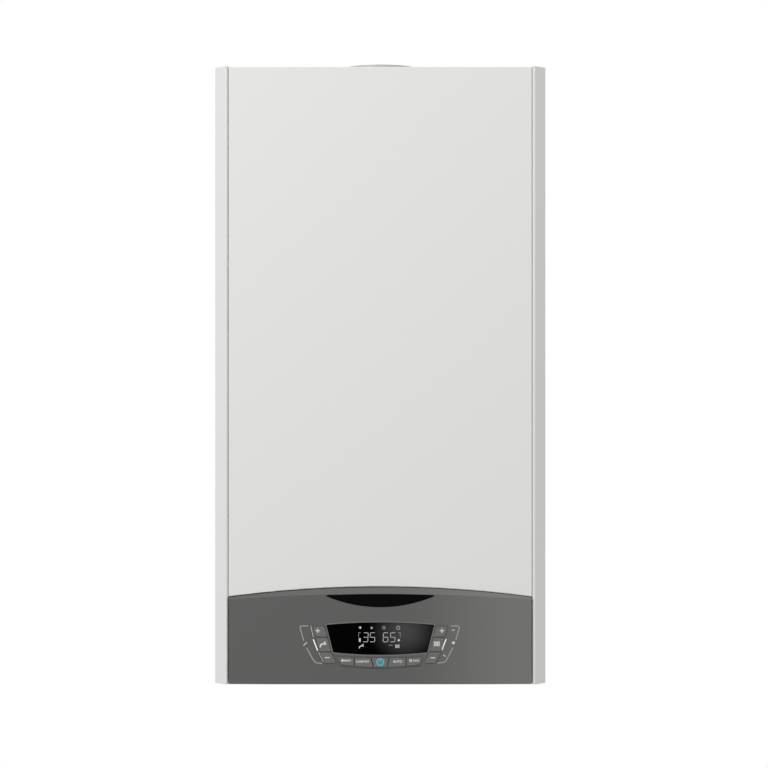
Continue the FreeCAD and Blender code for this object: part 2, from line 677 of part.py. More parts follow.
def edges_along(shape, axis):
    """Straight edges that run along one axis."""
    lines = [e for e in shape.Edges if e.Curve.TypeId == "Part::GeomLine"]
    return [e for e in lines if abs(e.tangentAt(e.FirstParameter).dot(axis)) > 1 - TOUCH]


def corner_arc(before, at, after, radius):
    """Start, middle and end of the arc that rounds a corner."""
    to_before = (before - at).normalize()
    to_after = (after - at).normalize()
    half = to_before.getAngle(to_after) / 2
    reach = radius / math.tan(half)
    inward = (to_before + to_after).normalize()
    middle = at + inward * (radius / math.sin(half) - radius)
    return at + to_before * reach, middle, at + to_after * reach


def rounded_wire(points, radii, closed):
    """A line through points, with each corner rounded by its own radius."""
    count = len(points)
    corners = []
    for i, point in enumerate(points):
        if radii[i] == 0:
            corners.append((point, None, point))
        else:
            corners.append(corner_arc(points[i - 1], point, points[(i + 1) % count], radii[i]))
    edges = []
    for i, (start, middle, end) in enumerate(corners):
        if middle:
            edges.append(Part.Arc(start, middle, end).toShape())
        if i == count - 1 and not closed:
            break
        following = corners[(i + 1) % count][0]
        if (following - end).Length > TOUCH:
            edges.append(Part.LineSegment(end, following).toShape())
    return Part.Wire(edges)


def rounded_prism(points, radius, push):
    return Part.Face(rounded_wire(points, [radius] * len(points), True)).extrude(push)


def folded_sheet(points, bends, thickness, normal, push):
    """Folded sheet whose face runs through points; the sheet lies to the left, seen against normal."""
    ways = [(b - a).normalize() for a, b in zip(points, points[1:])]
    lefts = [normal.cross(way) for way in ways]
    inner = [points[0] + lefts[0] * thickness]
    face_radii = [0]
    inner_radii = [0]
    for i in range(1, len(points) - 1):
        both = lefts[i - 1] + lefts[i]
        inner.append(points[i] + both * (thickness / (1 + lefts[i - 1].dot(lefts[i]))))
        turns_left = ways[i - 1].cross(ways[i]).dot(normal) > 0
        face_radii.append(bends[i - 1] + thickness if turns_left else bends[i - 1])
        inner_radii.append(bends[i - 1] if turns_left else bends[i - 1] + thickness)
    inner.append(points[-1] + lefts[-1] * thickness)
    outline = points + inner[::-1]
    radii = face_radii + [0] + [0] + inner_radii[::-1]
    return Part.Face(rounded_wire(outline, radii, True)).extrude(push)


def bent_tube(points, bend, diameter, bore):
    """A tube of straight runs and tangent arcs."""
    path = rounded_wire(points, [0] + [bend] * (len(points) - 2) + [0], False)
    way = points[1] - points[0]
    rings = [Part.Wire(Part.Circle(points[0], way, d / 2).toShape()) for d in (diameter, bore)]
    outer, inner = [path.makePipeShell([ring], True, False) for ring in rings]
    return outer.cut(inner)


# Casing

def wall_bracket():
    plate = block(-BRACKET_WIDTH / 2, BRACKET_WIDTH / 2, -BRACKET_SHEET, 0, -BRACKET_FALL, BRACKET_RISE)
    holes = [hole(BRACKET_HOLE / 2, Vector(side * BRACKET_HOLE_SPACING / 2, 0, 0), FRONT, BRACKET_SHEET)
             for side in (-1, 1)]
    front_y = FRAME_FACE_Y - FIT_GAP - BRACKET_SHEET
    tongues = []
    for side in (-1, 1):
        left = side * TONGUE_SPACING / 2 - TONGUE_WIDTH / 2
        points = [Vector(left, 0, BRACKET_RISE), Vector(left, front_y + BRACKET_SHEET, BRACKET_RISE),
                  Vector(left, front_y + BRACKET_SHEET, BRACKET_RISE + TONGUE_RISE)]
        tongues.append(folded_sheet(points, [BEND], BRACKET_SHEET, RIGHT, RIGHT * TONGUE_WIDTH))
    return fuse(cut(plate, *holes), *tongues)


def screw_sites():
    """Where the flush case screws enter the sides, as offset and height; the sides mirror."""
    frame_y = -(FRAME_STANDOFF + FRAME_FLANGE / 2)
    sites = [(frame_y, BOTTOM_Z + CASE_HEIGHT * share) for share in FRAME_SCREW_SHARES]
    sites += [(PLATE_FRONT_Y * share, PLATE_Z - PLATE_FLANGE / 2) for share in FLANGE_SCREW_SHARES]
    sites += [(SEAL_Y * share, PANEL_TOP_Z - TOP_FLANGE / 2) for share in FLANGE_SCREW_SHARES]
    return sites


def flush_screw(y, z, play):
    """A countersunk screw on the right side; play widens it into its hole."""
    start = Vector(HALF_WIDTH, y, z)
    head = Part.makeCone(SCREW_HEAD_DIAMETER / 2 + play, SCREW_DIAMETER / 2 + play, SCREW_HEAD_DEPTH,
                         start, -RIGHT)
    return head.fuse(rod(SCREW_DIAMETER / 2 + play, start, -RIGHT, SCREW_LENGTH))


def screw_holes():
    holes = [flush_screw(y, z, SCREW_PLAY) for y, z in screw_sites()]
    return holes + [mirrored(h) for h in holes]


def case_screws():
    """Flush screws of the sides and the collar's round-headed ones."""
    screws = []
    for y, z in screw_sites():
        socket = hexagon(SCREW_SOCKET, Vector(HALF_WIDTH + OVERRUN, y, z), -RIGHT,
                         SCREW_SOCKET_DEPTH + OVERRUN)
        screws.append(cut(flush_screw(y, z, 0), socket))
    return Part.makeCompound(screws + [mirrored(s) for s in screws] + collar_screws())


def rear_frame():
    plate_bottom = BOTTOM_Z + FRAME_BOTTOM_RISE
    plate_top = PANEL_TOP_Z - TOP_FLANGE - FIT_GAP
    points = [Vector(INSIDE_X, -FRAME_STANDOFF - FRAME_FLANGE, plate_bottom),
              Vector(INSIDE_X, -FRAME_STANDOFF, plate_bottom),
              Vector(-INSIDE_X, -FRAME_STANDOFF, plate_bottom),
              Vector(-INSIDE_X, -FRAME_STANDOFF - FRAME_FLANGE, plate_bottom)]
    frame = folded_sheet(points, [BEND, BEND], FRAME_SHEET, UP, UP * (plate_top - plate_bottom))
    slot_top = BRACKET_RISE + FIT_GAP
    slot_bottom = slot_top - TONGUE_RISE - BRACKET_SHEET - TONGUE_PLAY
    slot_half = TONGUE_WIDTH / 2 + TONGUE_PLAY
    slots = []
    for side in (-1, 1):
        mid = side * TONGUE_SPACING / 2
        slots.append(block(mid - slot_half, mid + slot_half,
                           FRAME_FACE_Y - OVERRUN, -FRAME_STANDOFF + OVERRUN, slot_bottom, slot_top))
    return cut(frame, *slots, *screw_holes())


def stud_sites():
    """Axes of the front panel's studs, as distance from the middle and height."""
    across = RETURN_X - STUD_EDGE
    heights = (BOTTOM_Z + CROSSBAR_RISE + CROSSBAR_HEIGHT, TOP_Z - STUD_TOP_DROP)
    return [(side * across, z) for side in (-1, 1) for z in heights]


def left_side_panel():
    ridge = Vector(BEVEL_WIDTH - HALF_WIDTH, RIDGE_Y, BOTTOM_Z)
    lip = Vector(-RETURN_X, RIDGE_Y + LIP_DEPTH, BOTTOM_Z)
    corner = Vector(-RETURN_X, SEAL_Y, BOTTOM_Z)
    shoulder = Vector(-HALF_WIDTH, RIDGE_Y + BEVEL_DEPTH, BOTTOM_Z)
    points = [Vector(REAR_LIP - HALF_WIDTH, 0, BOTTOM_Z), Vector(-HALF_WIDTH, 0, BOTTOM_Z),
              shoulder, ridge, lip, corner, Vector(-FLANGE_END_X, SEAL_Y, BOTTOM_Z)]
    panel = folded_sheet(points, [BEND, BEVEL_BEND, BEND, BEND, BEND], SHEET, UP, UP * CASE_HEIGHT)
    closing = [Vector(-RETURN_X, CORNER_Y, BOTTOM_Z), Vector(-HALF_WIDTH, CORNER_Y, BOTTOM_Z), shoulder,
               ridge, lip]
    radii = [0, 0, BEVEL_BEND + SHEET, BEND + SHEET, BEND + SHEET]
    cap = Part.Face(rounded_wire(closing, radii, True)).extrude(UP * SHEET)
    top_cap = cap.copy()
    top_cap.translate(UP * (CASE_HEIGHT - SHEET))
    clip_holes = [hole(STUD_DIAMETER / 2 + CLIP_PLAY + CLIP_WALL + SCREW_PLAY, Vector(x, SEAL_Y, z),
                       BACK, SHEET)
                  for x, z in stud_sites() if x < 0]
    return cut(fuse(panel, cap, top_cap), *clip_holes, *screw_holes())


def top_panel():
    top = PANEL_TOP_Z
    front_y = SEAL_Y + FIT_GAP + SHEET
    points = [Vector(INSIDE_X, front_y, top - TOP_FLANGE), Vector(INSIDE_X, front_y, top),
              Vector(-INSIDE_X, front_y, top), Vector(-INSIDE_X, front_y, top - TOP_FLANGE)]
    rear_y = -SHEET - FIT_GAP
    cover = folded_sheet(points, [BEND, BEND], SHEET, FRONT, BACK * (rear_y - front_y))
    flange_half = FLANGE_END_X - FIT_GAP
    flange = block(-flange_half, flange_half, front_y - SHEET, front_y, top - TOP_FLANGE, top)
    rear_half = INSIDE_X - SHEET
    rear_flange = block(-rear_half, rear_half, rear_y - SHEET, rear_y, top - TOP_FLANGE, top - SHEET)
    flue_hole = hole(COLLAR_DIAMETER / 2 - COLLAR_WALL, Vector(0, FLUE_Y, top - SHEET), UP, SHEET)
    screw_pits = [hole(SCREW_DIAMETER / 2 + SCREW_PLAY, place + DOWN * SHEET, UP, SHEET)
                  for place in collar_screw_places(top)]
    notch_x = RETURN_X - FIT_GAP
    notch = block(notch_x, HALF_WIDTH, front_y - SHEET - OVERRUN, CORNER_Y + FIT_GAP,
                  top - TOP_FLANGE - OVERRUN, top + OVERRUN)
    cover = cut(cover, notch, mirrored(notch))
    return cut(fuse(cover, flange, rear_flange), flue_hole, *screw_pits, *screw_holes())


def bottom_plate():
    under = PLATE_Z
    rear_y = FRAME_FACE_Y - FIT_GAP
    points = [Vector(INSIDE_X, PLATE_FRONT_Y, under - PLATE_FLANGE),
              Vector(INSIDE_X, PLATE_FRONT_Y, under + FRAME_SHEET),
              Vector(-INSIDE_X, PLATE_FRONT_Y, under + FRAME_SHEET),
              Vector(-INSIDE_X, PLATE_FRONT_Y, under - PLATE_FLANGE)]
    sheet = folded_sheet(points, [BEND, BEND], FRAME_SHEET, FRONT, BACK * (rear_y - PLATE_FRONT_Y))
    frame_clear = INSIDE_X - FRAME_SHEET - FIT_GAP
    corner = block(frame_clear, frame_clear + OVERRUN, -FRAME_STANDOFF - FRAME_FLANGE - FIT_GAP, OVERRUN,
                   under - PLATE_FLANGE - OVERRUN, under + FRAME_SHEET + OVERRUN)
    holes = [hole(radius + HOLE_PLAY, Vector(x, y, under), UP, FRAME_SHEET)
             for x, y, radius in bay_passages()]
    sheet = cut(sheet, corner, mirrored(corner), *holes, *screw_holes())
    return fuse(sheet, hinge_ear(), mirrored(hinge_ear()))


def bay_passages():
    """Everything that passes down through the bottom plate, as place and radius."""
    passages = [(x, STUB_Y, thread / 2) for x, thread in stubs()]
    passages.append((FILL_X, STUB_Y, SAFETY_STEM_DIAMETER / 2))
    passages.append((TRAP_X, TRAP_Y, TRAP_DRAIN_DIAMETER / 2))
    passages.append((GLAND_X, GLAND_Y, GLAND_THREAD / 2))
    return passages


def hinge_ear():
    """The right ear that carries the control panel, folded down from the bottom plate."""
    left = BOX_HALF + EAR_GAP
    top = PLATE_Z + FRAME_SHEET
    root_y = PLATE_FRONT_Y + BOX_REAR_HEIGHT
    profile = [Vector(left, root_y, top), Vector(left, PLATE_FRONT_Y, top),
               Vector(left, HINGE_Y - EAR_MARGIN, HINGE_Z + EAR_MARGIN),
               Vector(left, HINGE_Y - EAR_MARGIN, HINGE_Z - EAR_MARGIN),
               Vector(left, HINGE_Y + EAR_MARGIN, HINGE_Z - EAR_MARGIN),
               Vector(left, root_y, PLATE_Z - PLATE_FLANGE)]
    bearing = hole(TRUNNION_DIAMETER / 2 + SHAFT_GAP, Vector(left, HINGE_Y, HINGE_Z), RIGHT, EAR_SHEET)
    return cut(prism(profile, RIGHT * EAR_SHEET), bearing)


def front_crossbar():
    half = RETURN_X - SHEET
    front_y = SEAL_Y + SHEET
    low = BOTTOM_Z + CROSSBAR_RISE
    high = low + CROSSBAR_HEIGHT
    points = [Vector(-half, front_y + CROSSBAR_FOLD, high), Vector(-half, front_y, high),
              Vector(-half, front_y, low), Vector(-half, front_y + CROSSBAR_FOLD, low)]
    bar = folded_sheet(points, [BEND, BEND], FRAME_SHEET, RIGHT, RIGHT * (2 * half))
    room = [hole(STUD_DIAMETER / 2 + CLIP_PLAY + CLIP_WALL + CLIP_LIP, Vector(x, front_y, z), BACK,
                 CROSSBAR_FOLD)
            for x, z in stud_sites()]
    return cut(bar, *room)


def arch_face(half, low_z, high_z, radius, y, arch_at_top):
    """A face across Y with one arched edge, the others straight."""
    rise = ARC_CENTRE_Z + math.sqrt(radius**2 - half**2)
    left, right = Vector(-half, y, rise), Vector(half, y, rise)
    crown = Vector(0, y, ARC_CENTRE_Z + radius)
    far_z = low_z if arch_at_top else high_z
    far_right, far_left = Vector(half, y, far_z), Vector(-half, y, far_z)
    edges = [Part.Arc(left, crown, right).toShape(), Part.LineSegment(right, far_right).toShape(),
             Part.LineSegment(far_right, far_left).toShape(), Part.LineSegment(far_left, left).toShape()]
    return Part.Face(Part.Wire(edges))


def front_panel():
    """The lift-off cover, a shallow tray with four locating studs welded to its back."""
    arch = ARC_RADIUS + FASCIA_TOP_GAP
    back_y = SEAL_Y - PANEL_GAP
    outer = arch_face(PANEL_HALF, 0, PANEL_TOP_Z, arch, PANEL_Y, False).extrude(BACK * (back_y - PANEL_Y))
    outer = outer.makeFillet(PANEL_EDGE_RADIUS, edges_at(outer, "y", PANEL_Y))
    inner_face = arch_face(PANEL_HALF - SHEET, 0, PANEL_TOP_Z - SHEET, arch + SHEET, PANEL_Y + SHEET,
                           False)
    tray = cut(outer, inner_face.extrude(BACK * (back_y - PANEL_Y)))
    length = SEAL_Y - PANEL_Y - SHEET + STUD_OVERHANG
    studs = []
    for x, z in stud_sites():
        stud = rod(STUD_DIAMETER / 2, Vector(x, PANEL_Y + SHEET, z), BACK, length)
        studs.append(stud.makeChamfer(STUD_DIAMETER / 5, edges_at(stud, "y", PANEL_Y + SHEET + length)))
    return fuse(tray, *studs)


def stud_clips():
    clips = []
    for x, z in stud_sites():
        bore = STUD_DIAMETER / 2 + CLIP_PLAY
        collar = tube(bore + CLIP_WALL, bore, Vector(x, SEAL_Y - CLIP_LIP, z), BACK,
                      SHEET + STUD_OVERHANG)
        lip = tube(bore + CLIP_WALL + CLIP_LIP, bore, Vector(x, SEAL_Y - CLIP_LIP, z), BACK, CLIP_LIP)
        clips.append(fuse(collar, lip))
    return Part.makeCompound(clips)


def front_panel_seal():
    outer_x = FLANGE_END_X + SEAL_EDGE + SEAL_WIDTH
    inner_x = outer_x - SEAL_WIDTH
    front_y = PANEL_Y + SHEET
    back_y = SEAL_Y - FIT_GAP
    low = BOTTOM_Z + CROSSBAR_RISE
    high = PANEL_TOP_Z - TOP_FLANGE + SEAL_WIDTH + SEAL_EDGE
    frame = block(-outer_x, outer_x, front_y, back_y, low, high)
    window = block(-inner_x, inner_x, front_y - OVERRUN, back_y + OVERRUN, low + SEAL_WIDTH,
                   high - SEAL_WIDTH)
    sill_half = FLANGE_END_X - FIT_GAP
    sill = block(-sill_half, sill_half, front_y, back_y + SHEET, low, low + SEAL_WIDTH)
    return fuse(cut(frame, window), sill)


# Flue

def collar_screw_places(z):
    radius = COLLAR_SCREW_RING / 2
    start = Vector(radius, 0, 0)
    first = FreeCAD.Rotation(UP, 180 / COLLAR_SCREW_COUNT).multVec(start)
    return ring_places(Vector(0, FLUE_Y, z), UP, first, COLLAR_SCREW_COUNT)


def test_port_places(z):
    offset = (COLLAR_DIAMETER + COLLAR_FLANGE_DIAMETER) / 4
    return [Vector(side * offset, FLUE_Y, z) for side in (-1, 1)]


def flue_collar():
    base_z = PANEL_TOP_Z + GASKET
    base = Vector(0, FLUE_Y, base_z)
    rim_height = TOP_Z + COLLAR_RISE - base_z
    flange = rod(COLLAR_FLANGE_DIAMETER / 2, base, UP, COLLAR_FLANGE)
    ring = rod(COLLAR_DIAMETER / 2, base, UP, rim_height)
    ports = [rod(TEST_PORT_DIAMETER / 2, place, UP, COLLAR_FLANGE + TEST_PORT_HEIGHT)
             for place in test_port_places(base_z)]
    inner = hole(COLLAR_DIAMETER / 2 - COLLAR_WALL, base, UP, rim_height)
    screw_holes_here = [hole(SCREW_DIAMETER / 2 + SCREW_PLAY, place, UP, COLLAR_FLANGE)
                        for place in collar_screw_places(base_z)]
    shell = cut(fuse(flange, ring, *ports), inner, *screw_holes_here)
    hub = rod(EXHAUST_RADIUS + FIT_GAP + COLLAR_WALL, base, UP, SPOKE_HEIGHT)
    spoke = block(0, COLLAR_DIAMETER / 2 - COLLAR_WALL / 2,
                  FLUE_Y - SPOKE_WIDTH / 2, FLUE_Y + SPOKE_WIDTH / 2,
                  base_z, base_z + SPOKE_HEIGHT)
    spider = fuse(hub, *turned_copies(spoke, base, UP, SPOKE_COUNT))
    return fuse(shell, cut(spider, hole(EXHAUST_RADIUS + FIT_GAP, base, UP, SPOKE_HEIGHT)))


def collar_screws():
    top = PANEL_TOP_Z + GASKET + COLLAR_FLANGE
    screws = []
    for place in collar_screw_places(top):
        head = rod(COLLAR_SCREW_HEAD / 2, place, UP, COLLAR_SCREW_HEAD_HEIGHT)
        head = head.makeFillet(COLLAR_SCREW_HEAD_HEIGHT / 2,
                               edges_at(head, "z", top + COLLAR_SCREW_HEAD_HEIGHT))
        slot = hexagon(SCREW_SOCKET, place + UP * COLLAR_SCREW_HEAD_HEIGHT, DOWN, SCREW_SOCKET_DEPTH)
        screws.append(fuse(cut(head, slot), rod(SCREW_DIAMETER / 2, place, DOWN, COLLAR_SCREW_LENGTH)))
    return screws


def gaskets():
    """Collar gasket, exhaust lip ring and burner door seal, all soft black rings."""
    base = Vector(0, FLUE_Y, PANEL_TOP_Z)
    pad = tube(COLLAR_FLANGE_DIAMETER / 2, COLLAR_DIAMETER / 2 - COLLAR_WALL, base, UP, GASKET)
    pad = cut(pad, *[hole(SCREW_DIAMETER / 2 + SCREW_PLAY, place, UP, GASKET)
                     for place in collar_screw_places(PANEL_TOP_Z)])
    ring_z = TOP_Z + EXHAUST_RISE - LIP_SEAL_DEPTH
    lip = tube(EXHAUST_BORE / 2 + LIP_SEAL_WALL, EXHAUST_BORE / 2 + LIP_SEAL_SUNK,
               Vector(0, FLUE_Y, ring_z), UP, LIP_SEAL_HEIGHT)
    outer = DRUM_RADIUS - DRUM_WALL + DOOR_SEAL_WIDTH
    door = tube(outer, outer - DOOR_SEAL_WIDTH, Vector(0, DOOR_BACK_Y, DRUM_Z), BACK, DOOR_SEAL)
    return Part.makeCompound([pad, lip, door])


def test_point_caps():
    top = PANEL_TOP_Z + GASKET + COLLAR_FLANGE + TEST_PORT_HEIGHT
    caps = []
    for place in test_port_places(top):
        skirt = TEST_PORT_HEIGHT - FIT_GAP
        cap = rod(TEST_CAP_DIAMETER / 2, place + DOWN * skirt, UP, TEST_CAP_HEIGHT)
        cap = cap.makeFillet(COLLAR_WALL / 2, edges_at(cap, "z", top - skirt + TEST_CAP_HEIGHT))
        port = rod(TEST_PORT_DIAMETER / 2 + FIT_GAP, place + DOWN * (skirt + OVERRUN), UP,
                   skirt + OVERRUN)
        caps.append(cut(cap, port))
    return Part.makeCompound(caps)


def exhaust_duct():
    base = Vector(0, FLUE_Y, SPIGOT_SEAT_Z)
    height = TOP_Z + EXHAUST_RISE - SPIGOT_SEAT_Z
    duct = tube(EXHAUST_RADIUS, THROAT_RADIUS, base, UP, height)
    socket = rod(EXHAUST_BORE / 2, base + UP * (height - EXHAUST_SOCKET), UP, EXHAUST_SOCKET + OVERRUN)
    ring_z = TOP_Z + EXHAUST_RISE - LIP_SEAL_DEPTH
    groove = rod(EXHAUST_BORE / 2 + LIP_SEAL_WALL, Vector(0, FLUE_Y, ring_z), UP, LIP_SEAL_HEIGHT)
    return cut(duct, socket, groove)


# Heat exchanger and burner

def drum_point(x, y, z):
    return Vector(x, y, DRUM_Z + z)


def exchanger_shell():
    length = DRUM_BACK_Y - DRUM_FRONT_Y
    front = drum_point(0, DRUM_FRONT_Y, 0)
    drum = rod(DRUM_RADIUS, front, BACK, length)
    drum = drum.makeFillet(DRUM_FLANGE, edges_at(drum, "y", DRUM_BACK_Y))
    flange = rod(FLANGE_RADIUS, front, BACK, DRUM_FLANGE_SHEET)
    spigot_radius = EXHAUST_RADIUS + FIT_GAP + SPIGOT_WALL
    spigot = rod(spigot_radius, drum_point(0, FLUE_Y, 0), UP, DRUM_RADIUS + SPIGOT_SEAT + SPIGOT_DEPTH)
    drain = rod(DRAIN_DIAMETER / 2, drum_point(0, FLUE_Y, 0), DOWN, DRUM_RADIUS + DRAIN_LENGTH)
    foot_offset = DRUM_RADIUS * DRUM_FOOT_SHARE
    feet_at = [drum_point(sx * foot_offset, DRUM_BACK_Y - DRUM_WALL, sz * foot_offset)
               for sx in (-1, 1) for sz in (-1, 1)]
    feet = [rod(DRUM_FOOT_DIAMETER / 2, place, BACK, DRUM_FOOT + DRUM_WALL) for place in feet_at]
    inside = rod(DRUM_RADIUS - DRUM_WALL, drum_point(0, DRUM_FRONT_Y - OVERRUN, 0), BACK,
                 length + OVERRUN - DRUM_WALL)
    inside = inside.makeFillet(DRUM_FLANGE - DRUM_WALL, edges_at(inside, "y", DRUM_BACK_Y - DRUM_WALL))
    seat = rod(THROAT_RADIUS, drum_point(0, FLUE_Y, 0), UP, DRUM_RADIUS + SPIGOT_SEAT + OVERRUN)
    socket = rod(EXHAUST_RADIUS + FIT_GAP, Vector(0, FLUE_Y, SPIGOT_SEAT_Z), UP, SPIGOT_DEPTH + OVERRUN)
    drain_bore = rod(DRAIN_DIAMETER / 2 - DRAIN_WALL, drum_point(0, FLUE_Y, 0), DOWN,
                     DRUM_RADIUS + DRAIN_LENGTH + OVERRUN)
    stub_holes = [rod(PIPE_DIAMETER / 2 + FIT_GAP, drum_point(side * CORE_STUB_X, CORE_STUB_Y, 0), DOWN,
                      CORE_STUB_LENGTH)
                  for side in (-1, 1)]
    stud_holes = [hole(DOOR_STUD_DIAMETER / 2, place, BACK, DRUM_FLANGE_SHEET)
                  for place in door_stud_places(DRUM_FRONT_Y)]
    return cut(fuse(drum, flange, spigot, drain, *feet), inside, seat, socket, drain_bore, *stub_holes,
               *stud_holes)


def exchanger_core():
    front_y = DRUM_FRONT_Y + CORE_END_GAP
    length = DRUM_BACK_Y - DRUM_WALL - front_y
    start = drum_point(0, front_y, 0)
    jacket = rod(CORE_OUTER_RADIUS, start, BACK, length)
    pitch = (length - CORE_FIN) / (CORE_FIN_COUNT - 1)
    fin_stop = DRUM_BACK_Y - DRUM_FLANGE
    fins = [rod(CORE_FIN_RADIUS, start + BACK * (pitch * i), BACK, CORE_FIN)
            for i in range(CORE_FIN_COUNT)
            if front_y + pitch * i + CORE_FIN < fin_stop]
    stubs_here = [rod(PIPE_DIAMETER / 2, drum_point(side * CORE_STUB_X, CORE_STUB_Y, 0), DOWN,
                      CORE_STUB_LENGTH)
                  for side in (-1, 1)]
    core = fuse(jacket, *fins, *stubs_here)
    throat = hole(CORE_INNER_RADIUS, start, BACK, length)
    water = tube(CORE_OUTER_RADIUS - CORE_WALL, CORE_INNER_RADIUS + CORE_WALL, start + BACK * CORE_WALL,
                 BACK,
                 length - 2 * CORE_WALL)
    bores = [rod(PIPE_DIAMETER / 2 - PIPE_WALL, drum_point(side * CORE_STUB_X, CORE_STUB_Y, 0), DOWN,
                 CORE_STUB_LENGTH + OVERRUN) for side in (-1, 1)]
    return cut(core, throat, water, *bores)


def door_stud_places(y):
    first = FreeCAD.Rotation(BACK, 180 / DOOR_NUT_COUNT).multVec(UP * DOOR_STUD_RADIUS)
    return ring_places(Vector(0, y, DRUM_Z), BACK, first, DOOR_NUT_COUNT)


def electrode_places(y):
    radius = DRUM_RADIUS * ELECTRODE_RING_SHARE
    return [Vector(radius * math.cos(math.radians(a)), y, DRUM_Z + radius * math.sin(math.radians(a)))
            for a in ELECTRODE_ANGLES]


def arm_duct(inset, foot_z):
    """The L-shaped mixture duct on the door, from the fan's outlet to the middle of the door."""
    half = ARM_WIDTH / 2 - inset
    left = inset - ARM_LEFT
    points = [(FAN_X - half, foot_z), (FAN_X + half, foot_z), (FAN_X + half, DRUM_Z + half),
              (left, DRUM_Z + half), (left, DRUM_Z - half), (FAN_X - half, DRUM_Z - half)]
    places = [Vector(x, ARM_FRONT_Y + inset, z) for x, z in points]
    return prism(places, BACK * (ARM_DEPTH - inset))


def burner_door():
    foot_z = FAN_Z + FAN_RISE
    disc = rod(FLANGE_RADIUS, drum_point(0, DOOR_FRONT_Y, 0), BACK, DOOR_THICKNESS)
    disc = disc.makeFillet(DOOR_EDGE_RADIUS, edges_at(disc, "y", DOOR_FRONT_Y))
    rib_radius = DRUM_RADIUS * DOOR_RIB_SHARE
    rib = tube(rib_radius + DOOR_RIB_WIDTH / 2, rib_radius - DOOR_RIB_WIDTH / 2,
               drum_point(0, DOOR_FRONT_Y - DOOR_RIB, 0), BACK, DOOR_RIB)
    arm = arm_duct(0, foot_z)
    arm = arm.makeFillet(ARM_EDGE_RADIUS, edges_along(arm, BACK) + edges_at(arm, "y", ARM_FRONT_Y))
    foot = block(FAN_LEFT_X - FAN_FLANGE_EDGE, FAN_RIGHT_X + FAN_FLANGE_EDGE,
                 ARM_FRONT_Y, DOOR_FRONT_Y, foot_z, foot_z + FAN_FLANGE)
    mouth = hole(MIX_HOLE_RADIUS, drum_point(0, DOOR_FRONT_Y, 0), BACK, DOOR_THICKNESS)
    duct = arm_duct(ARM_WALL, foot_z - OVERRUN)
    studs = [hole(DOOR_STUD_DIAMETER / 2, place, BACK, DOOR_THICKNESS)
             for place in door_stud_places(DOOR_FRONT_Y)]
    seats = [hole(ELECTRODE_RADIUS, place, BACK, DOOR_THICKNESS)
             for place in electrode_places(DOOR_FRONT_Y)]
    pads = [rod(ELECTRODE_PLATE_RADIUS, place + FRONT * DOOR_RIB, BACK, DOOR_RIB)
            for place in electrode_places(DOOR_FRONT_Y)]
    door = cut(fuse(disc, rib, *pads), *seats)
    return cut(fuse(door, arm, foot), mouth, duct, *studs)


def burner_tube():
    start = drum_point(0, DOOR_BACK_Y, 0)
    can = rod(BURNER_RADIUS, start, BACK, BURNER_LENGTH)
    can = fuse(can, rod(BURNER_RADIUS + BURNER_FLANGE, start, BACK, BURNER_WALL))
    return cut(can, rod(BURNER_RADIUS - BURNER_WALL, start + FRONT * OVERRUN, BACK,
                        BURNER_LENGTH + OVERRUN - BURNER_WALL))


def door_nuts():
    fastenings = []
    for place in door_stud_places(DOOR_FRONT_Y):
        stud_start = place + FRONT * (DOOR_NUT_HEIGHT + DOOR_STUD_END)
        length = DOOR_NUT_HEIGHT + DOOR_STUD_END + DOOR_THICKNESS + DOOR_SEAL + DRUM_FLANGE_SHEET
        nut = hexagon(DOOR_NUT_WIDTH, place, FRONT, DOOR_NUT_HEIGHT)
        fastenings.append(fuse(rod(DOOR_STUD_DIAMETER / 2, stud_start, BACK, length), nut))
    return Part.makeCompound(fastenings)


def electrodes():
    rods = []
    for place in electrode_places(DOOR_FRONT_Y - DOOR_RIB):
        ceramic = rod(ELECTRODE_RADIUS, place + FRONT * ELECTRODE_LENGTH, BACK,
                      ELECTRODE_LENGTH + DOOR_RIB + DOOR_THICKNESS)
        plate = rod(ELECTRODE_PLATE_RADIUS, place, FRONT, ELECTRODE_PLATE)
        tip = rod(ELECTRODE_TIP_RADIUS, place + BACK * (DOOR_RIB + DOOR_THICKNESS), BACK,
                  ELECTRODE_TIP_LENGTH - DOOR_RIB)
        rods.append(fuse(ceramic, plate, tip))
    return Part.makeCompound(rods)


# Fan and gas

def fan_chamber(inset):
    """Round fan chamber with its outlet chute at the front, rising to the burner door."""
    width = ARM_WIDTH - 2 * inset
    left = FAN_LEFT_X + inset
    scroll = rod(FAN_RADIUS - inset, Vector(left, FAN_Y, FAN_Z), RIGHT, width)
    chute = block(left, left + width, ARM_FRONT_Y + inset, DOOR_FRONT_Y - inset, FAN_Z,
                  FAN_Z + FAN_RISE + inset)
    return fuse(scroll, chute)


def fan_housing():
    outlet_z = FAN_Z + FAN_RISE
    body = fan_chamber(0)
    sides = edges_at(body, "x", FAN_LEFT_X) + edges_at(body, "x", FAN_RIGHT_X)
    body = body.makeFillet(FAN_EDGE_RADIUS, sides)
    flange = block(FAN_LEFT_X - FAN_FLANGE_EDGE, FAN_RIGHT_X + FAN_FLANGE_EDGE, ARM_FRONT_Y, DOOR_FRONT_Y,
                   outlet_z - FAN_FLANGE, outlet_z)
    axis_left = Vector(FAN_LEFT_X, FAN_Y, FAN_Z)
    axis_right = Vector(FAN_RIGHT_X, FAN_Y, FAN_Z)
    eye = hole(FAN_INLET_RADIUS, axis_left, RIGHT, FAN_WALL)
    shaft_hole = rod(SHAFT_DIAMETER / 2 + SHAFT_HOLE_PLAY, axis_right + RIGHT * OVERRUN, -RIGHT,
                     FAN_WALL + 2 * OVERRUN)
    return cut(fuse(body, flange), fan_chamber(FAN_WALL), eye, shaft_hole)


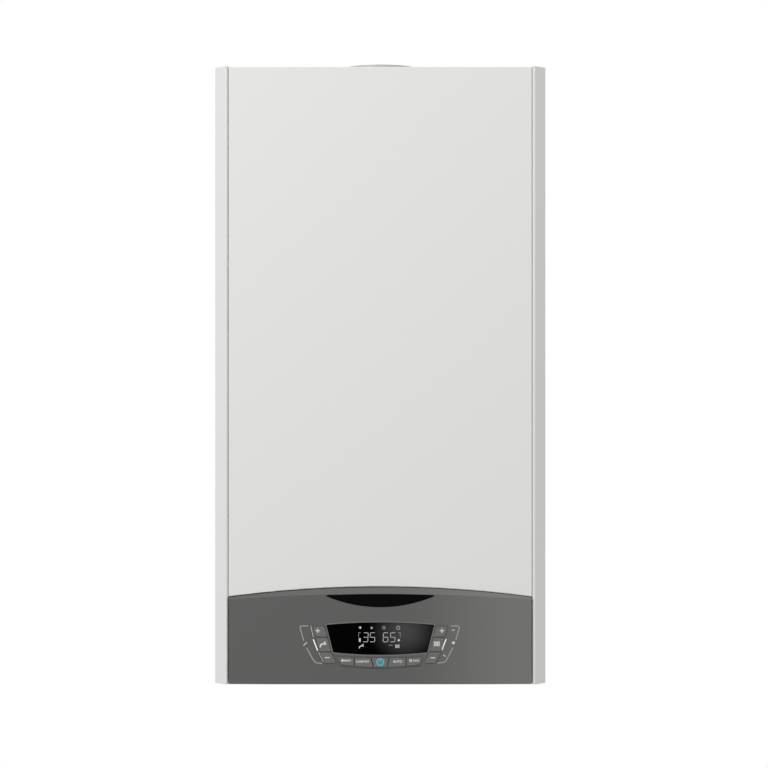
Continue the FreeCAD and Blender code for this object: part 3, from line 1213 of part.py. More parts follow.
def wheel(radius, eye_radius, width, sheet, blades, hub_radius, start, axis, side):
    """A bladed wheel: back plate, straight blades leaning back from the radius, and a hub."""
    plate = rod(radius, start, axis, sheet)
    hub = rod(hub_radius, start, axis, width)
    blade = Part.makeBox(radius - eye_radius, sheet, width - sheet)
    blade.rotate(NOWHERE, UP, 90 / blades)
    blade.translate(Vector(eye_radius, 0, sheet))
    blade = blade.common(Part.makeCylinder(radius, width))
    blade.Placement = FreeCAD.Placement(start, FreeCAD.Rotation(UP, axis)).multiply(blade.Placement)
    return fuse(plate, hub, *turned_copies(blade, start, side, blades))


def fan_impeller():
    gap = (ARM_WIDTH - 2 * FAN_WALL - IMPELLER_WIDTH) / 2
    start = Vector(FAN_RIGHT_X - FAN_WALL - gap, FAN_Y, FAN_Z)
    rotor = wheel(IMPELLER_RADIUS, IMPELLER_EYE_RADIUS, IMPELLER_WIDTH, IMPELLER_SHEET, IMPELLER_BLADES,
                  IMPELLER_HUB_RADIUS, start, -RIGHT, RIGHT)
    shaft = rod(SHAFT_DIAMETER / 2, start, RIGHT, gap + FAN_WALL + SHAFT_REACH)
    return fuse(rotor, shaft)


def fan_motor():
    start = Vector(FAN_RIGHT_X, FAN_Y, FAN_Z)
    can = rod(MOTOR_RADIUS, start, RIGHT, MOTOR_LENGTH)
    can = can.makeFillet(MOTOR_EDGE_RADIUS, edges_at(can, "x", FAN_RIGHT_X + MOTOR_LENGTH))
    belt = rod(MOTOR_BELT_RADIUS, start + RIGHT * ((MOTOR_LENGTH - MOTOR_BELT) / 2), RIGHT, MOTOR_BELT)
    bearing = rod(SHAFT_DIAMETER / 2 + SHAFT_GAP, start - RIGHT * OVERRUN, RIGHT,
                  OVERRUN + SHAFT_REACH + SHAFT_HOLE_PLAY)
    return cut(fuse(can, belt), bearing)


def air_silencer():
    left_x = VENTURI_LEFT_X - SILENCER_LENGTH
    joint = Vector(FAN_LEFT_X, FAN_Y, FAN_Z)
    venturi = rod(VENTURI_RADIUS, joint, -RIGHT, VENTURI_LENGTH)
    boss = rod(GAS_BOSS_DIAMETER / 2, Vector(GAS_BOSS_X, FAN_Y, FAN_Z), DOWN,
               VENTURI_RADIUS + GAS_BOSS_DROP)
    pot_start = Vector(left_x, FAN_Y, FAN_Z)
    pot = rod(SILENCER_RADIUS, pot_start, RIGHT, SILENCER_LENGTH)
    ends = edges_at(pot, "x", left_x) + edges_at(pot, "x", VENTURI_LEFT_X)
    pot = pot.makeFillet(SILENCER_EDGE_RADIUS, ends)
    rib_starts = [SILENCER_LENGTH * share - SILENCER_RIB_WIDTH / 2 for share in SILENCER_RIB_SHARES]
    ribs = [rod(SILENCER_RADIUS + SILENCER_RIB, pot_start + RIGHT * start, RIGHT, SILENCER_RIB_WIDTH)
            for start in rib_starts]
    throat = hole(VENTURI_BORE / 2, pot_start + RIGHT * SILENCER_LENGTH, RIGHT, VENTURI_LENGTH)
    room = rod(SILENCER_RADIUS - SILENCER_WALL, pot_start + RIGHT * SILENCER_WALL, RIGHT,
               SILENCER_LENGTH - 2 * SILENCER_WALL)
    room = room.makeFillet(SILENCER_EDGE_RADIUS - SILENCER_WALL,
                           edges_at(room, "x", left_x + SILENCER_WALL)
                           + edges_at(room, "x", VENTURI_LEFT_X - SILENCER_WALL))
    mouth = hole(SILENCER_MOUTH_RADIUS, pot_start, RIGHT, SILENCER_WALL)
    gas_way = rod(GAS_PIPE_DIAMETER / 2 - GAS_PIPE_WALL, Vector(GAS_BOSS_X, FAN_Y, FAN_Z), DOWN,
                  VENTURI_RADIUS + GAS_BOSS_DROP + OVERRUN)
    return cut(fuse(venturi, boss, pot, *ribs), throat, room, mouth, gas_way)


def gas_valve():
    front_y = FAN_Y - VALVE_DEPTH / 2
    body = block(VALVE_LEFT_X, VALVE_RIGHT_X, front_y, front_y + VALVE_DEPTH, VALVE_BOTTOM_Z, VALVE_TOP_Z)
    body = body.makeFillet(VALVE_EDGE_RADIUS, body.Edges)
    coils = []
    mid_x = (VALVE_LEFT_X + VALVE_RIGHT_X) / 2
    mid_z = (VALVE_TOP_Z + VALVE_BOTTOM_Z) / 2
    for side in (-1, 1):
        x = mid_x + side * (COIL_WIDTH + COIL_GAP) / 2
        coil = block(x - COIL_WIDTH / 2, x + COIL_WIDTH / 2, front_y - COIL_DEPTH, front_y,
                     mid_z - COIL_HEIGHT / 2,
                     mid_z + COIL_HEIGHT / 2)
        coil = coil.makeFillet(COIL_EDGE_RADIUS, edges_along(coil, BACK) + edges_at(coil, "y",
                                                                                    front_y - COIL_DEPTH))
        coils.append(coil)
    bores = [rod(GAS_PIPE_DIAMETER / 2 - GAS_PIPE_WALL, Vector(x, FAN_Y, z), way, VALVE_HEIGHT / 3)
             for x, z, way in ((GAS_INLET_X, VALVE_BOTTOM_Z, UP), (GAS_BOSS_X, VALVE_TOP_Z, DOWN))]
    return cut(fuse(body, *coils), *bores)


def gas_pipes():
    """Supply pipe from the gas stub to the valve, and the short feed from the valve to the venturi."""
    lower = Vector(0, STUB_Y, STUB_TOP_Z)
    upper = Vector(GAS_INLET_X, FAN_Y, VALVE_BOTTOM_Z)
    route = [lower, lower + UP * GAS_RISE, upper + DOWN * GAS_SLOPE_DROP, upper]
    bore = GAS_PIPE_DIAMETER - 2 * GAS_PIPE_WALL
    supply = bent_tube(route, GAS_PIPE_BEND, GAS_PIPE_DIAMETER, bore)
    nuts = [cut(hexagon(GAS_NUT_WIDTH, place, way, GAS_NUT_HEIGHT),
                hole(bore / 2, place, way, GAS_NUT_HEIGHT))
            for place, way in ((lower, UP), (upper, DOWN))]
    boss_z = FAN_Z - VENTURI_RADIUS - GAS_BOSS_DROP
    feed_start = Vector(GAS_BOSS_X, FAN_Y, VALVE_TOP_Z)
    feed = tube(GAS_PIPE_DIAMETER / 2, bore / 2, feed_start, UP, boss_z - VALVE_TOP_Z)
    feed_nut = cut(hexagon(GAS_NUT_WIDTH, feed_start, UP, GAS_NUT_HEIGHT),
                   hole(bore / 2, feed_start, UP, GAS_NUT_HEIGHT))
    return Part.makeCompound([fuse(supply, *nuts), fuse(feed, feed_nut)])


# Condensate

def condensate_hose():
    top = drum_point(0, FLUE_Y, -DRUM_RADIUS - DRAIN_LENGTH)
    bottom = Vector(TRAP_X, TRAP_Y, TRAP_TOP_Z)
    route = [top, top + DOWN * HOSE_DROP, bottom + UP * HOSE_DROP, bottom]
    return bent_tube(route, HOSE_BEND, HOSE_DIAMETER, HOSE_BORE)


def condensate_trap():
    start = Vector(TRAP_X, TRAP_Y, TRAP_BOTTOM_Z)
    cup = rod(TRAP_RADIUS, start, UP, TRAP_HEIGHT)
    cup = cup.makeFillet(TRAP_WALL, edges_at(cup, "z", TRAP_BOTTOM_Z) + edges_at(cup, "z", TRAP_TOP_Z))
    band = rod(TRAP_RADIUS + TRAP_BAND, start + UP * (TRAP_HEIGHT * 2 / 3), UP, TRAP_BAND_HEIGHT)
    drain_end = Vector(TRAP_X, TRAP_Y, BOTTOM_Z + TRAP_DRAIN_END)
    drain = rod(TRAP_DRAIN_DIAMETER / 2, drain_end, UP, TRAP_BOTTOM_Z - drain_end.z + TRAP_WALL)
    stop_top = Vector(TRAP_X, TRAP_Y, PLATE_Z - FIT_GAP)
    stop = rod(TRAP_DRAIN_DIAMETER / 2 + TRAP_STOP, stop_top, DOWN, TRAP_STOP_HEIGHT)
    inside = rod(TRAP_RADIUS - TRAP_WALL, start + UP * TRAP_WALL, UP, TRAP_HEIGHT - 2 * TRAP_WALL)
    inlet = rod(HOSE_BORE / 2, Vector(TRAP_X, TRAP_Y, TRAP_TOP_Z - TRAP_WALL - OVERRUN), UP,
                TRAP_WALL + 2 * OVERRUN)
    bore = rod(TRAP_DRAIN_DIAMETER / 2 - TRAP_DRAIN_WALL, drain_end + DOWN * OVERRUN, UP,
               TRAP_BOTTOM_Z - drain_end.z + TRAP_WALL + 2 * OVERRUN)
    return cut(fuse(cup, band, drain, stop), inside, inlet, bore)


# Water side

def pillow(left_x, width, inset):
    """A rounded flat box standing along the case's side."""
    front = VESSEL_FRONT_Y + inset
    back = VESSEL_BACK_Y - inset
    low = VESSEL_BOTTOM_Z + inset
    high = VESSEL_TOP_Z - inset
    points = [Vector(left_x, y, z) for y, z in ((front, low), (back, low), (back, high), (front, high))]
    return rounded_prism(points, VESSEL_CORNER - inset, RIGHT * width)


def expansion_vessel():
    left = VESSEL_RIGHT_X - VESSEL_WIDTH
    tank = pillow(left, VESSEL_WIDTH, 0)
    tank = tank.makeFillet(VESSEL_ROUND, edges_at(tank, "x", left) + edges_at(tank, "x", VESSEL_RIGHT_X))
    seam = pillow(VESSEL_X - VESSEL_SEAM_WIDTH / 2, VESSEL_SEAM_WIDTH, -VESSEL_SEAM)
    lugs = [block(VESSEL_X - VESSEL_LUG_WIDTH / 2, VESSEL_X + VESSEL_LUG_WIDTH / 2,
                  VESSEL_BACK_Y - VESSEL_WALL, FRAME_FACE_Y,
                  z - VESSEL_LUG_HEIGHT / 2, z + VESSEL_LUG_HEIGHT / 2)
            for z in (VESSEL_BOTTOM_Z + VESSEL_HEIGHT * share for share in VESSEL_LUG_SHARES)]
    room = pillow(left + VESSEL_WALL, VESSEL_WIDTH - 2 * VESSEL_WALL, VESSEL_WALL)
    room = room.makeFillet(VESSEL_ROUND - VESSEL_WALL, edges_at(room, "x", left + VESSEL_WALL)
                           + edges_at(room, "x", VESSEL_RIGHT_X - VESSEL_WALL))
    port = rod(VESSEL_PORT / 2, Vector(VESSEL_X, VESSEL_PIPE_Y, VESSEL_BOTTOM_Z - OVERRUN), UP,
               VESSEL_CORNER)
    return cut(fuse(tank, seam, *lugs), room, port)


def pipe_nut(place, way, width, bore):
    return cut(hexagon(width, place, way, PIPE_NUT_HEIGHT), hole(bore / 2, place, way, PIPE_NUT_HEIGHT))


def stepped_route(top, bottom):
    """Straight down, across, and straight down again."""
    high, low = [bottom.z + (top.z - bottom.z) * share for share in PIPE_CROSS_SHARES]
    return [top, Vector(top.x, top.y, high), Vector(bottom.x, bottom.y, low), bottom]


def water_pipes():
    """Flow and return pipes of the exchanger and the vessel's pipe, with their union nuts."""
    bore = PIPE_DIAMETER - 2 * PIPE_WALL
    ends = [(Vector(-CORE_STUB_X, CORE_STUB_Y, CORE_STUB_Z), Vector(FLOW_PIPE_X, STUB_Y, BLOCK_TOP_Z)),
            (Vector(CORE_STUB_X, CORE_STUB_Y, CORE_STUB_Z),
             Vector(PUMP_OUTLET_X, STUB_Y, PUMP_Z + PUMP_OUTLET_RISE))]
    pipes = []
    for top, bottom in ends:
        pipe = bent_tube(stepped_route(top, bottom), PIPE_BEND, PIPE_DIAMETER, bore)
        pipes.append(fuse(pipe, pipe_nut(top, DOWN, PIPE_NUT_WIDTH, bore),
                          pipe_nut(bottom, UP, PIPE_NUT_WIDTH, bore)))
    vessel_bore = VESSEL_PIPE_DIAMETER - 2 * VESSEL_PIPE_WALL
    low = Vector(VESSEL_X, VESSEL_PIPE_Y, BLOCK_TOP_Z)
    length = VESSEL_BOTTOM_Z - VESSEL_SEAM - BLOCK_TOP_Z
    pipe = tube(VESSEL_PIPE_DIAMETER / 2, vessel_bore / 2, low, UP, length)
    nut_width = VESSEL_PIPE_DIAMETER * PIPE_NUT_WIDTH / PIPE_DIAMETER
    pipes.append(fuse(pipe, pipe_nut(low, UP, nut_width, vessel_bore),
                      pipe_nut(low + UP * length, DOWN, nut_width, vessel_bore)))
    return Part.makeCompound(pipes)


def hydraulic_block(mid_x):
    """A moulded water block with ribs on its front, seen before its ports are cut."""
    body = block(mid_x - BLOCK_WIDTH / 2, mid_x + BLOCK_WIDTH / 2, BLOCK_FRONT_Y, BLOCK_BACK_Y,
                 STUB_TOP_Z, BLOCK_TOP_Z)
    body = body.makeFillet(BLOCK_EDGE_RADIUS, edges_along(body, UP))
    half_run = BLOCK_WIDTH / 2 - BLOCK_EDGE_RADIUS
    ribs = []
    for share in BLOCK_RIB_SHARES:
        z = STUB_TOP_Z + BLOCK_HEIGHT * share
        ribs.append(block(mid_x - half_run, mid_x + half_run, BLOCK_FRONT_Y - BLOCK_RIB, BLOCK_FRONT_Y,
                          z - BLOCK_RIB_WIDTH / 2, z + BLOCK_RIB_WIDTH / 2))
    return fuse(body, *ribs)


def stub_bores(low_x, high_x):
    """Water ways up from the stubs between two places."""
    return [rod(thread / 2 - STUB_WALL, Vector(x, STUB_Y, STUB_TOP_Z - OVERRUN), UP,
                OVERRUN + BLOCK_HEIGHT / 2)
            for x, thread in stubs() if low_x < x < high_x]


def return_block():
    body = hydraulic_block(BLOCK_MID_X)
    pump_port = rod(PUMP_PORT_DIAMETER / 2 - STUB_WALL, Vector(PUMP_X, STUB_Y, BLOCK_TOP_Z + OVERRUN),
                    DOWN,
                    OVERRUN + BLOCK_HEIGHT / 2)
    stem_bore = rod(SAFETY_STEM_DIAMETER / 2 + SHAFT_GAP, Vector(FILL_X, STUB_Y, STUB_TOP_Z - OVERRUN),
                    UP,
                    OVERRUN + FILL_STEM_REACH + KNOB_GAP)
    return cut(body, pump_port, stem_bore, *stub_bores(0, HALF_WIDTH))


def spindle_floor_z():
    return STUB_TOP_Z + SPINDLE_CHAMBER_FLOOR


def flow_block():
    body = hydraulic_block(-BLOCK_MID_X)
    floor = Vector(DIVERTER_X, DIVERTER_Y, spindle_floor_z())
    chamber = rod(SPINDLE_CHAMBER_RADIUS, floor, UP, SPINDLE_CHAMBER_HEIGHT)
    guide = rod(SPINDLE_DIAMETER / 2 + SHAFT_GAP, floor, UP, BLOCK_HEIGHT)
    flow_port = rod(PIPE_DIAMETER / 2 - PIPE_WALL, Vector(FLOW_PIPE_X, STUB_Y, BLOCK_TOP_Z + OVERRUN),
                    DOWN,
                    OVERRUN + BLOCK_HEIGHT / 3)
    return cut(body, chamber, guide, flow_port, *stub_bores(-HALF_WIDTH, 0))


def diverter_motor():
    neck_z = BLOCK_TOP_Z
    box_z = neck_z + DIVERTER_NECK_HEIGHT
    half = DIVERTER_SIZE / 2
    box = block(DIVERTER_X - half, DIVERTER_X + half, DIVERTER_Y - half, DIVERTER_Y + half, box_z,
                box_z + DIVERTER_HEIGHT)
    box = box.makeFillet(DIVERTER_EDGE_RADIUS, edges_along(box, UP) + edges_at(box, "z",
                                                                               box_z + DIVERTER_HEIGHT))
    neck = rod(DIVERTER_NECK_RADIUS, Vector(DIVERTER_X, DIVERTER_Y, neck_z), UP, DIVERTER_NECK_HEIGHT)
    bore = rod(SPINDLE_DIAMETER / 2 + SHAFT_GAP, Vector(DIVERTER_X, DIVERTER_Y, neck_z - OVERRUN), UP,
               OVERRUN + SPINDLE_REACH + SPINDLE_TRAVEL + KNOB_GAP)
    return cut(fuse(box, neck), bore)


def diverter_spindle():
    low = Vector(DIVERTER_X, DIVERTER_Y, spindle_floor_z() + SPINDLE_CHAMBER_HEIGHT / 4)
    stem = rod(SPINDLE_DIAMETER / 2, low, UP, BLOCK_TOP_Z + SPINDLE_REACH - low.z)
    return fuse(stem, rod(SPINDLE_DISC_RADIUS, low, UP, SPINDLE_DISC))


def plate_exchanger():
    half = PLATES_WIDTH / 2
    low = STUB_TOP_Z + PLATES_RISE
    high = low + PLATES_HEIGHT
    points = [Vector(x, BLOCK_BACK_Y, z) for x, z in ((-half, low), (half, low), (half, high),
                                                      (-half, high))]
    pack = rounded_prism(points, PLATES_CORNER, BACK * PLATES_DEPTH)
    inner = [Vector(p.x * (1 - PLATES_GROOVE_DEPTH / half), p.y,
                    p.z + (PLATES_GROOVE_DEPTH if p.z == low else -PLATES_GROOVE_DEPTH)) for p in points]
    pitch = PLATES_DEPTH / PLATES_COUNT
    grooves = []
    for i in range(1, PLATES_COUNT):
        step = BACK * (pitch * i - PLATES_GROOVE / 2)
        outer_slice = rounded_prism([p + step for p in points], PLATES_CORNER, BACK * PLATES_GROOVE)
        inner_slice = rounded_prism([p + step for p in inner], PLATES_CORNER - PLATES_GROOVE_DEPTH,
                                    BACK * PLATES_GROOVE)
        grooves.append(outer_slice.cut(inner_slice))
    return cut(pack, *grooves)


def safety_valve():
    base = Vector(SAFETY_X, BLOCK_FRONT_Y, SAFETY_Z)
    barrel = rod(SAFETY_RADIUS, base, FRONT, SAFETY_LENGTH)
    nut = hexagon(SAFETY_HEX_WIDTH, base + FRONT * BLOCK_RIB, FRONT, SAFETY_HEX_LENGTH)
    bore = rod(SAFETY_STEM_DIAMETER / 2 + SHAFT_GAP, base + FRONT * (SAFETY_LENGTH + OVERRUN), BACK,
               OVERRUN + SAFETY_STEM_REACH + KNOB_GAP)
    seat = block(SAFETY_X - SAFETY_HEX_WIDTH, SAFETY_X + SAFETY_HEX_WIDTH, BLOCK_FRONT_Y - BLOCK_RIB,
                 BLOCK_FRONT_Y,
                 SAFETY_Z - BLOCK_RIB_WIDTH / 2, SAFETY_Z + BLOCK_RIB_WIDTH / 2)
    return cut(fuse(barrel, nut), bore, seat)


def grip_knob(radius, length, start, axis, side):
    """A round knob with scooped grips round its edge."""
    knob = rod(radius, start, axis, length)
    letter = "y" if abs(axis.y) > abs(axis.z) else "z"
    far = (start + axis * length).y if letter == "y" else (start + axis * length).z
    knob = knob.makeFillet(KNOB_EDGE_RADIUS, edges_at(knob, letter, far))
    scoop = rod(radius * KNOB_GRIP_SHARE, start + side * radius - axis * OVERRUN, axis,
                length + 2 * OVERRUN)
    return cut(knob, *turned_copies(scoop, start, axis, KNOB_GRIPS))


def safety_valve_knob():
    face = Vector(SAFETY_X, BLOCK_FRONT_Y - SAFETY_LENGTH, SAFETY_Z)
    start = face + FRONT * KNOB_GAP
    stem = rod(SAFETY_STEM_DIAMETER / 2, start, BACK, KNOB_GAP + SAFETY_STEM_REACH)
    return fuse(grip_knob(SAFETY_KNOB_RADIUS, SAFETY_KNOB_LENGTH, start, FRONT, RIGHT), stem)


def filling_knob():
    start = Vector(FILL_X, STUB_Y, PLATE_Z - FILL_KNOB_GAP)
    stem = rod(SAFETY_STEM_DIAMETER / 2, start, UP, STUB_TOP_Z + FILL_STEM_REACH - start.z)
    return fuse(grip_knob(FILL_KNOB_RADIUS, FILL_KNOB_LENGTH, start, DOWN, RIGHT), stem)


def stubs():
    """Distance from the middle and thread of each pipe stub, left to right."""
    threads = (HEATING_THREAD, WATER_THREAD, HEATING_THREAD, WATER_THREAD, HEATING_THREAD)
    return [(STUB_SPACING * (i - len(threads) // 2), thread) for i, thread in enumerate(threads)]


def pipe_stubs():
    """Five brass stubs: heating flow, hot water, gas, cold water and heating return."""
    pieces = []
    for x, thread in stubs():
        end = Vector(x, STUB_Y, BOTTOM_Z + STUB_END)
        length = STUB_TOP_Z - end.z
        barrel = rod(thread / 2, end, UP, length)
        barrel = barrel.makeChamfer(STUB_CHAMFER, edges_at(barrel, "z", end.z))
        nut = hexagon(thread + 2 * STUB_HEX_MARGIN, end + UP * STUB_THREAD, UP, STUB_HEX_HEIGHT)
        pieces.append(cut(fuse(barrel, nut), hole(thread / 2 - STUB_WALL, end, UP, length)))
    return Part.makeCompound(pieces)


# Pump

def pump_volute():
    front = Vector(PUMP_X, PUMP_FRONT_Y, PUMP_Z)
    shell = rod(PUMP_RADIUS, front, BACK, PUMP_LENGTH)
    shell = shell.makeFillet(PUMP_EDGE_RADIUS, edges_at(shell, "y", PUMP_BACK_Y))
    inlet = rod(PUMP_PORT_DIAMETER / 2, Vector(PUMP_X, STUB_Y, BLOCK_TOP_Z), UP, PUMP_RISE)
    outlet = rod(PIPE_NUT_WIDTH / 2, Vector(PUMP_OUTLET_X, STUB_Y, PUMP_Z), UP, PUMP_OUTLET_RISE)
    vent_start = Vector(PUMP_X + PUMP_RADIUS * VENT_X_SHARE, STUB_Y, PUMP_Z)
    vent = rod(VENT_RADIUS, vent_start, UP, PUMP_RADIUS + VENT_HEIGHT)
    vent = vent.makeFillet(VENT_RADIUS / 4, edges_at(vent, "z", PUMP_Z + PUMP_RADIUS + VENT_HEIGHT))
    cap = rod(VENT_CAP_RADIUS, vent_start, UP, PUMP_RADIUS + VENT_HEIGHT + VENT_CAP_HEIGHT)
    room = rod(PUMP_RADIUS - PUMP_WALL, front + FRONT * OVERRUN, BACK, OVERRUN + PUMP_LENGTH - PUMP_WALL)
    ways = [rod(PUMP_PORT_DIAMETER / 2 - STUB_WALL, Vector(PUMP_X, STUB_Y, BLOCK_TOP_Z - OVERRUN), UP,
                PUMP_RISE),
            rod(PIPE_DIAMETER / 2 - PIPE_WALL, Vector(PUMP_OUTLET_X, STUB_Y, PUMP_Z), UP,
                PUMP_OUTLET_RISE + OVERRUN)]
    return cut(fuse(shell, inlet, outlet, vent, cap), room, *ways)


def pump_motor():
    face = Vector(PUMP_X, PUMP_FRONT_Y, PUMP_Z)
    front_y = PUMP_FRONT_Y - PUMP_MOTOR_LENGTH
    flange = rod(PUMP_RADIUS, face, FRONT, PUMP_WALL)
    can = rod(PUMP_MOTOR_RADIUS, face, FRONT, PUMP_MOTOR_LENGTH)
    can = can.makeFillet(PUMP_MOTOR_EDGE, edges_at(can, "y", front_y))
    fin_length = PUMP_MOTOR_LENGTH * PUMP_FIN_SHARE
    fin = block(PUMP_X + PUMP_MOTOR_RADIUS - PUMP_WALL, PUMP_X + PUMP_MOTOR_RADIUS + PUMP_FIN_DEPTH,
                PUMP_FRONT_Y - fin_length, PUMP_FRONT_Y, PUMP_Z - PUMP_FIN_WIDTH / 2,
                PUMP_Z + PUMP_FIN_WIDTH / 2)
    box_low = PUMP_Z + PUMP_MOTOR_RADIUS - PUMP_BOX_HEIGHT / 2
    box = block(PUMP_X - PUMP_BOX_WIDTH / 2, PUMP_X + PUMP_BOX_WIDTH / 2, front_y + PUMP_MOTOR_EDGE,
                front_y + PUMP_MOTOR_EDGE + PUMP_BOX_LENGTH, box_low, box_low + PUMP_BOX_HEIGHT)
    edges = edges_along(box, UP) + edges_at(box, "z", box_low + PUMP_BOX_HEIGHT)
    box = box.makeFillet(PUMP_FIN_WIDTH, edges)
    bearing = rod(SHAFT_DIAMETER / 2 + SHAFT_GAP, face + BACK * OVERRUN, FRONT,
                  OVERRUN + SHAFT_REACH + SHAFT_HOLE_PLAY)
    return cut(fuse(flange, can, box, *turned_copies(fin, face, BACK, PUMP_FINS)), bearing)


def pump_rotor():
    start = Vector(PUMP_X, PUMP_FRONT_Y + PUMP_WALL, PUMP_Z)
    rotor = wheel(ROTOR_RADIUS, ROTOR_EYE_RADIUS, ROTOR_WIDTH, IMPELLER_SHEET, ROTOR_BLADES,
                  IMPELLER_HUB_RADIUS, start, BACK,
                  BACK)
    return fuse(rotor, rod(SHAFT_DIAMETER / 2, start, FRONT, PUMP_WALL + SHAFT_REACH))


def cable_gland():
    """The inlet for the supply cable, clamped in the bottom plate."""
    place = Vector(GLAND_X, GLAND_Y, PLATE_Z)
    top = place + UP * FRAME_SHEET
    stem = rod(GLAND_THREAD / 2, place + DOWN * GLAND_DROP, UP, GLAND_DROP + FRAME_SHEET + GLAND_RISE)
    lock_nut = hexagon(GLAND_HEX_WIDTH, top, UP, GLAND_HEX_HEIGHT)
    body_hex = hexagon(GLAND_HEX_WIDTH, place, DOWN, GLAND_HEX_HEIGHT)
    cap_length = GLAND_DROP - GLAND_HEX_HEIGHT
    cap = rod(GLAND_CAP_DIAMETER / 2, place + DOWN * GLAND_DROP, UP, cap_length)
    cap = cap.makeFillet(FRAME_SHEET, edges_at(cap, "z", place.z - GLAND_DROP))
    return cut(fuse(stem, lock_nut, body_hex, cap),
               hole(GLAND_BORE / 2, place + DOWN * GLAND_DROP, UP, GLAND_DROP + FRAME_SHEET + GLAND_RISE))


# Control panel

def bowed_slab(forward, back_y, half):
    """All that lies behind the bowed front, moved forward by a distance, and ahead of back_y."""
    centre_y = FASCIA_FRONT_Y + BOW_RADIUS
    radius = BOW_RADIUS + forward
    side_y = centre_y - math.sqrt(radius**2 - half**2)
    arc = Part.Arc(Vector(-half, side_y, BOTTOM_Z), Vector(0, centre_y - radius, BOTTOM_Z),
                   Vector(half, side_y, BOTTOM_Z))
    rest = Part.makePolygon([Vector(half, side_y, BOTTOM_Z), Vector(half, back_y, BOTTOM_Z),
                             Vector(-half, back_y, BOTTOM_Z),
                             Vector(-half, side_y, BOTTOM_Z)])
    return Part.Face(Part.Wire([arc.toShape()] + rest.Edges)).extrude(UP * (2 * FASCIA_TOP))


def through_prism(wire):
    """A wire drawn on the plane of the ridge, run right through the fascia and past its keys."""
    depth = FASCIA_BULGE + OVERRUN
    wire.translate(FRONT * depth)
    return Part.Face(wire).extrude(BACK * (depth + FASCIA_BACK + FASCIA_RIM_DEPTH + OVERRUN))


def panel_place(x, rise):
    return Vector(x, RIDGE_Y, BOTTOM_Z + rise)


def lens_wire(grow):
    half = LENS_WIDTH / 2 + grow
    high = LENS_TIP_RISE + LENS_TIP / 2 + grow
    low = LENS_TIP_RISE - LENS_TIP / 2 - grow
    top_left, top_right = panel_place(-half, high), panel_place(half, high)
    low_left, low_right = panel_place(-half, low), panel_place(half, low)
    edges = [Part.Arc(top_left, panel_place(0, LENS_TIP_RISE + LENS_CROWN + grow), top_right),
             Part.LineSegment(top_right, low_right),
             Part.Arc(low_right, panel_place(0, LENS_TIP_RISE - LENS_BELLY - grow), low_left),
             Part.LineSegment(low_left, top_left)]
    return Part.Wire([e.toShape() for e in edges])


def display_wire(grow):
    top_half = DISPLAY_TOP_WIDTH / 2 + grow
    bottom_half = DISPLAY_BOTTOM_WIDTH / 2 + grow
    top_rise = DISPLAY_TOP_RISE + grow
    bottom_rise = DISPLAY_BOTTOM_RISE - grow
    top_left, top_right = panel_place(-top_half, top_rise), panel_place(top_half, top_rise)
    low_left, low_right = panel_place(-bottom_half, bottom_rise), panel_place(bottom_half, bottom_rise)
    edges = [Part.Arc(top_left, panel_place(0, top_rise + DISPLAY_CROWN), top_right),
             Part.LineSegment(top_right, low_right),
             Part.Arc(low_right, panel_place(0, bottom_rise - DISPLAY_BELLY), low_left),
             Part.LineSegment(low_left, top_left)]
    return Part.Wire([e.toShape() for e in edges])


def side_key_corners(index, side):
    """Four corners of one key of a side column, from the top down; side -1 is the left column."""
    corners = []
    for row, trim in ((index, -KEY_GAP / 2), (index + 1, KEY_GAP / 2)):
        rise = KEY_TOP_RISE - KEY_COLUMN_HEIGHT * KEY_COLUMN_SHARES[row] + trim
        inner = DISPLAY_TOP_WIDTH * KEY_INNER_SHARES[row]
        corners.append((panel_place(side * inner, rise),
                        panel_place(side * (inner + SIDE_KEY_WIDTH), rise)))
    (top_in, top_out), (low_in, low_out) = corners
    return [top_in, top_out, low_out, low_in]


def row_key_corners(index):
    """Four corners of one key of the bottom row, from the left."""
    corners = []
    for share, low_share, trim in ((ROW_TOP_SHARES[index], ROW_BOTTOM_SHARES[index], KEY_GAP / 2),
                                   (ROW_TOP_SHARES[index + 1], ROW_BOTTOM_SHARES[index + 1],
                                    -KEY_GAP / 2)):
        top = ROW_TOP_RISE - ROW_TOP_SAG * (1 - (2 * share)**2)
        low = ROW_TOP_RISE - ROW_HEIGHT - ROW_BOTTOM_SAG * (1 - (2 * low_share)**2)
        corners.append((panel_place(ROW_WIDTH * share + trim, top),
                        panel_place(ROW_WIDTH * low_share + trim, low)))
    (top_left, low_left), (top_right, low_right) = corners
    return [top_left, top_right, low_right, low_left]


def key_table():
    """Every key: node name, corners and the way its retaining lip points."""
    table = []
    for side, name in ((-1, "left"), (1, "right")):
        for index, sign in enumerate(("plus", "mode", "minus")):
            table.append((f"key_{name}_{sign}", side_key_corners(index, side), RIGHT))
    for index, name in enumerate(("menu", "comfort", "power", "auto", "info")):
        table.append((f"key_{name}", row_key_corners(index), UP))
    return table


def key_prism(corners, grow):
    """The key's outline run through the fascia, each corner moved out by grow."""
    middle = sum(corners, NOWHERE) * (1 / len(corners))
    moved = []
    for corner in corners:
        away = corner - middle
        moved.append(corner + Vector(math.copysign(grow, away.x), 0, math.copysign(grow, away.z)))
    return through_prism(rounded_wire(moved, [KEY_CORNER + grow] * len(moved), True))


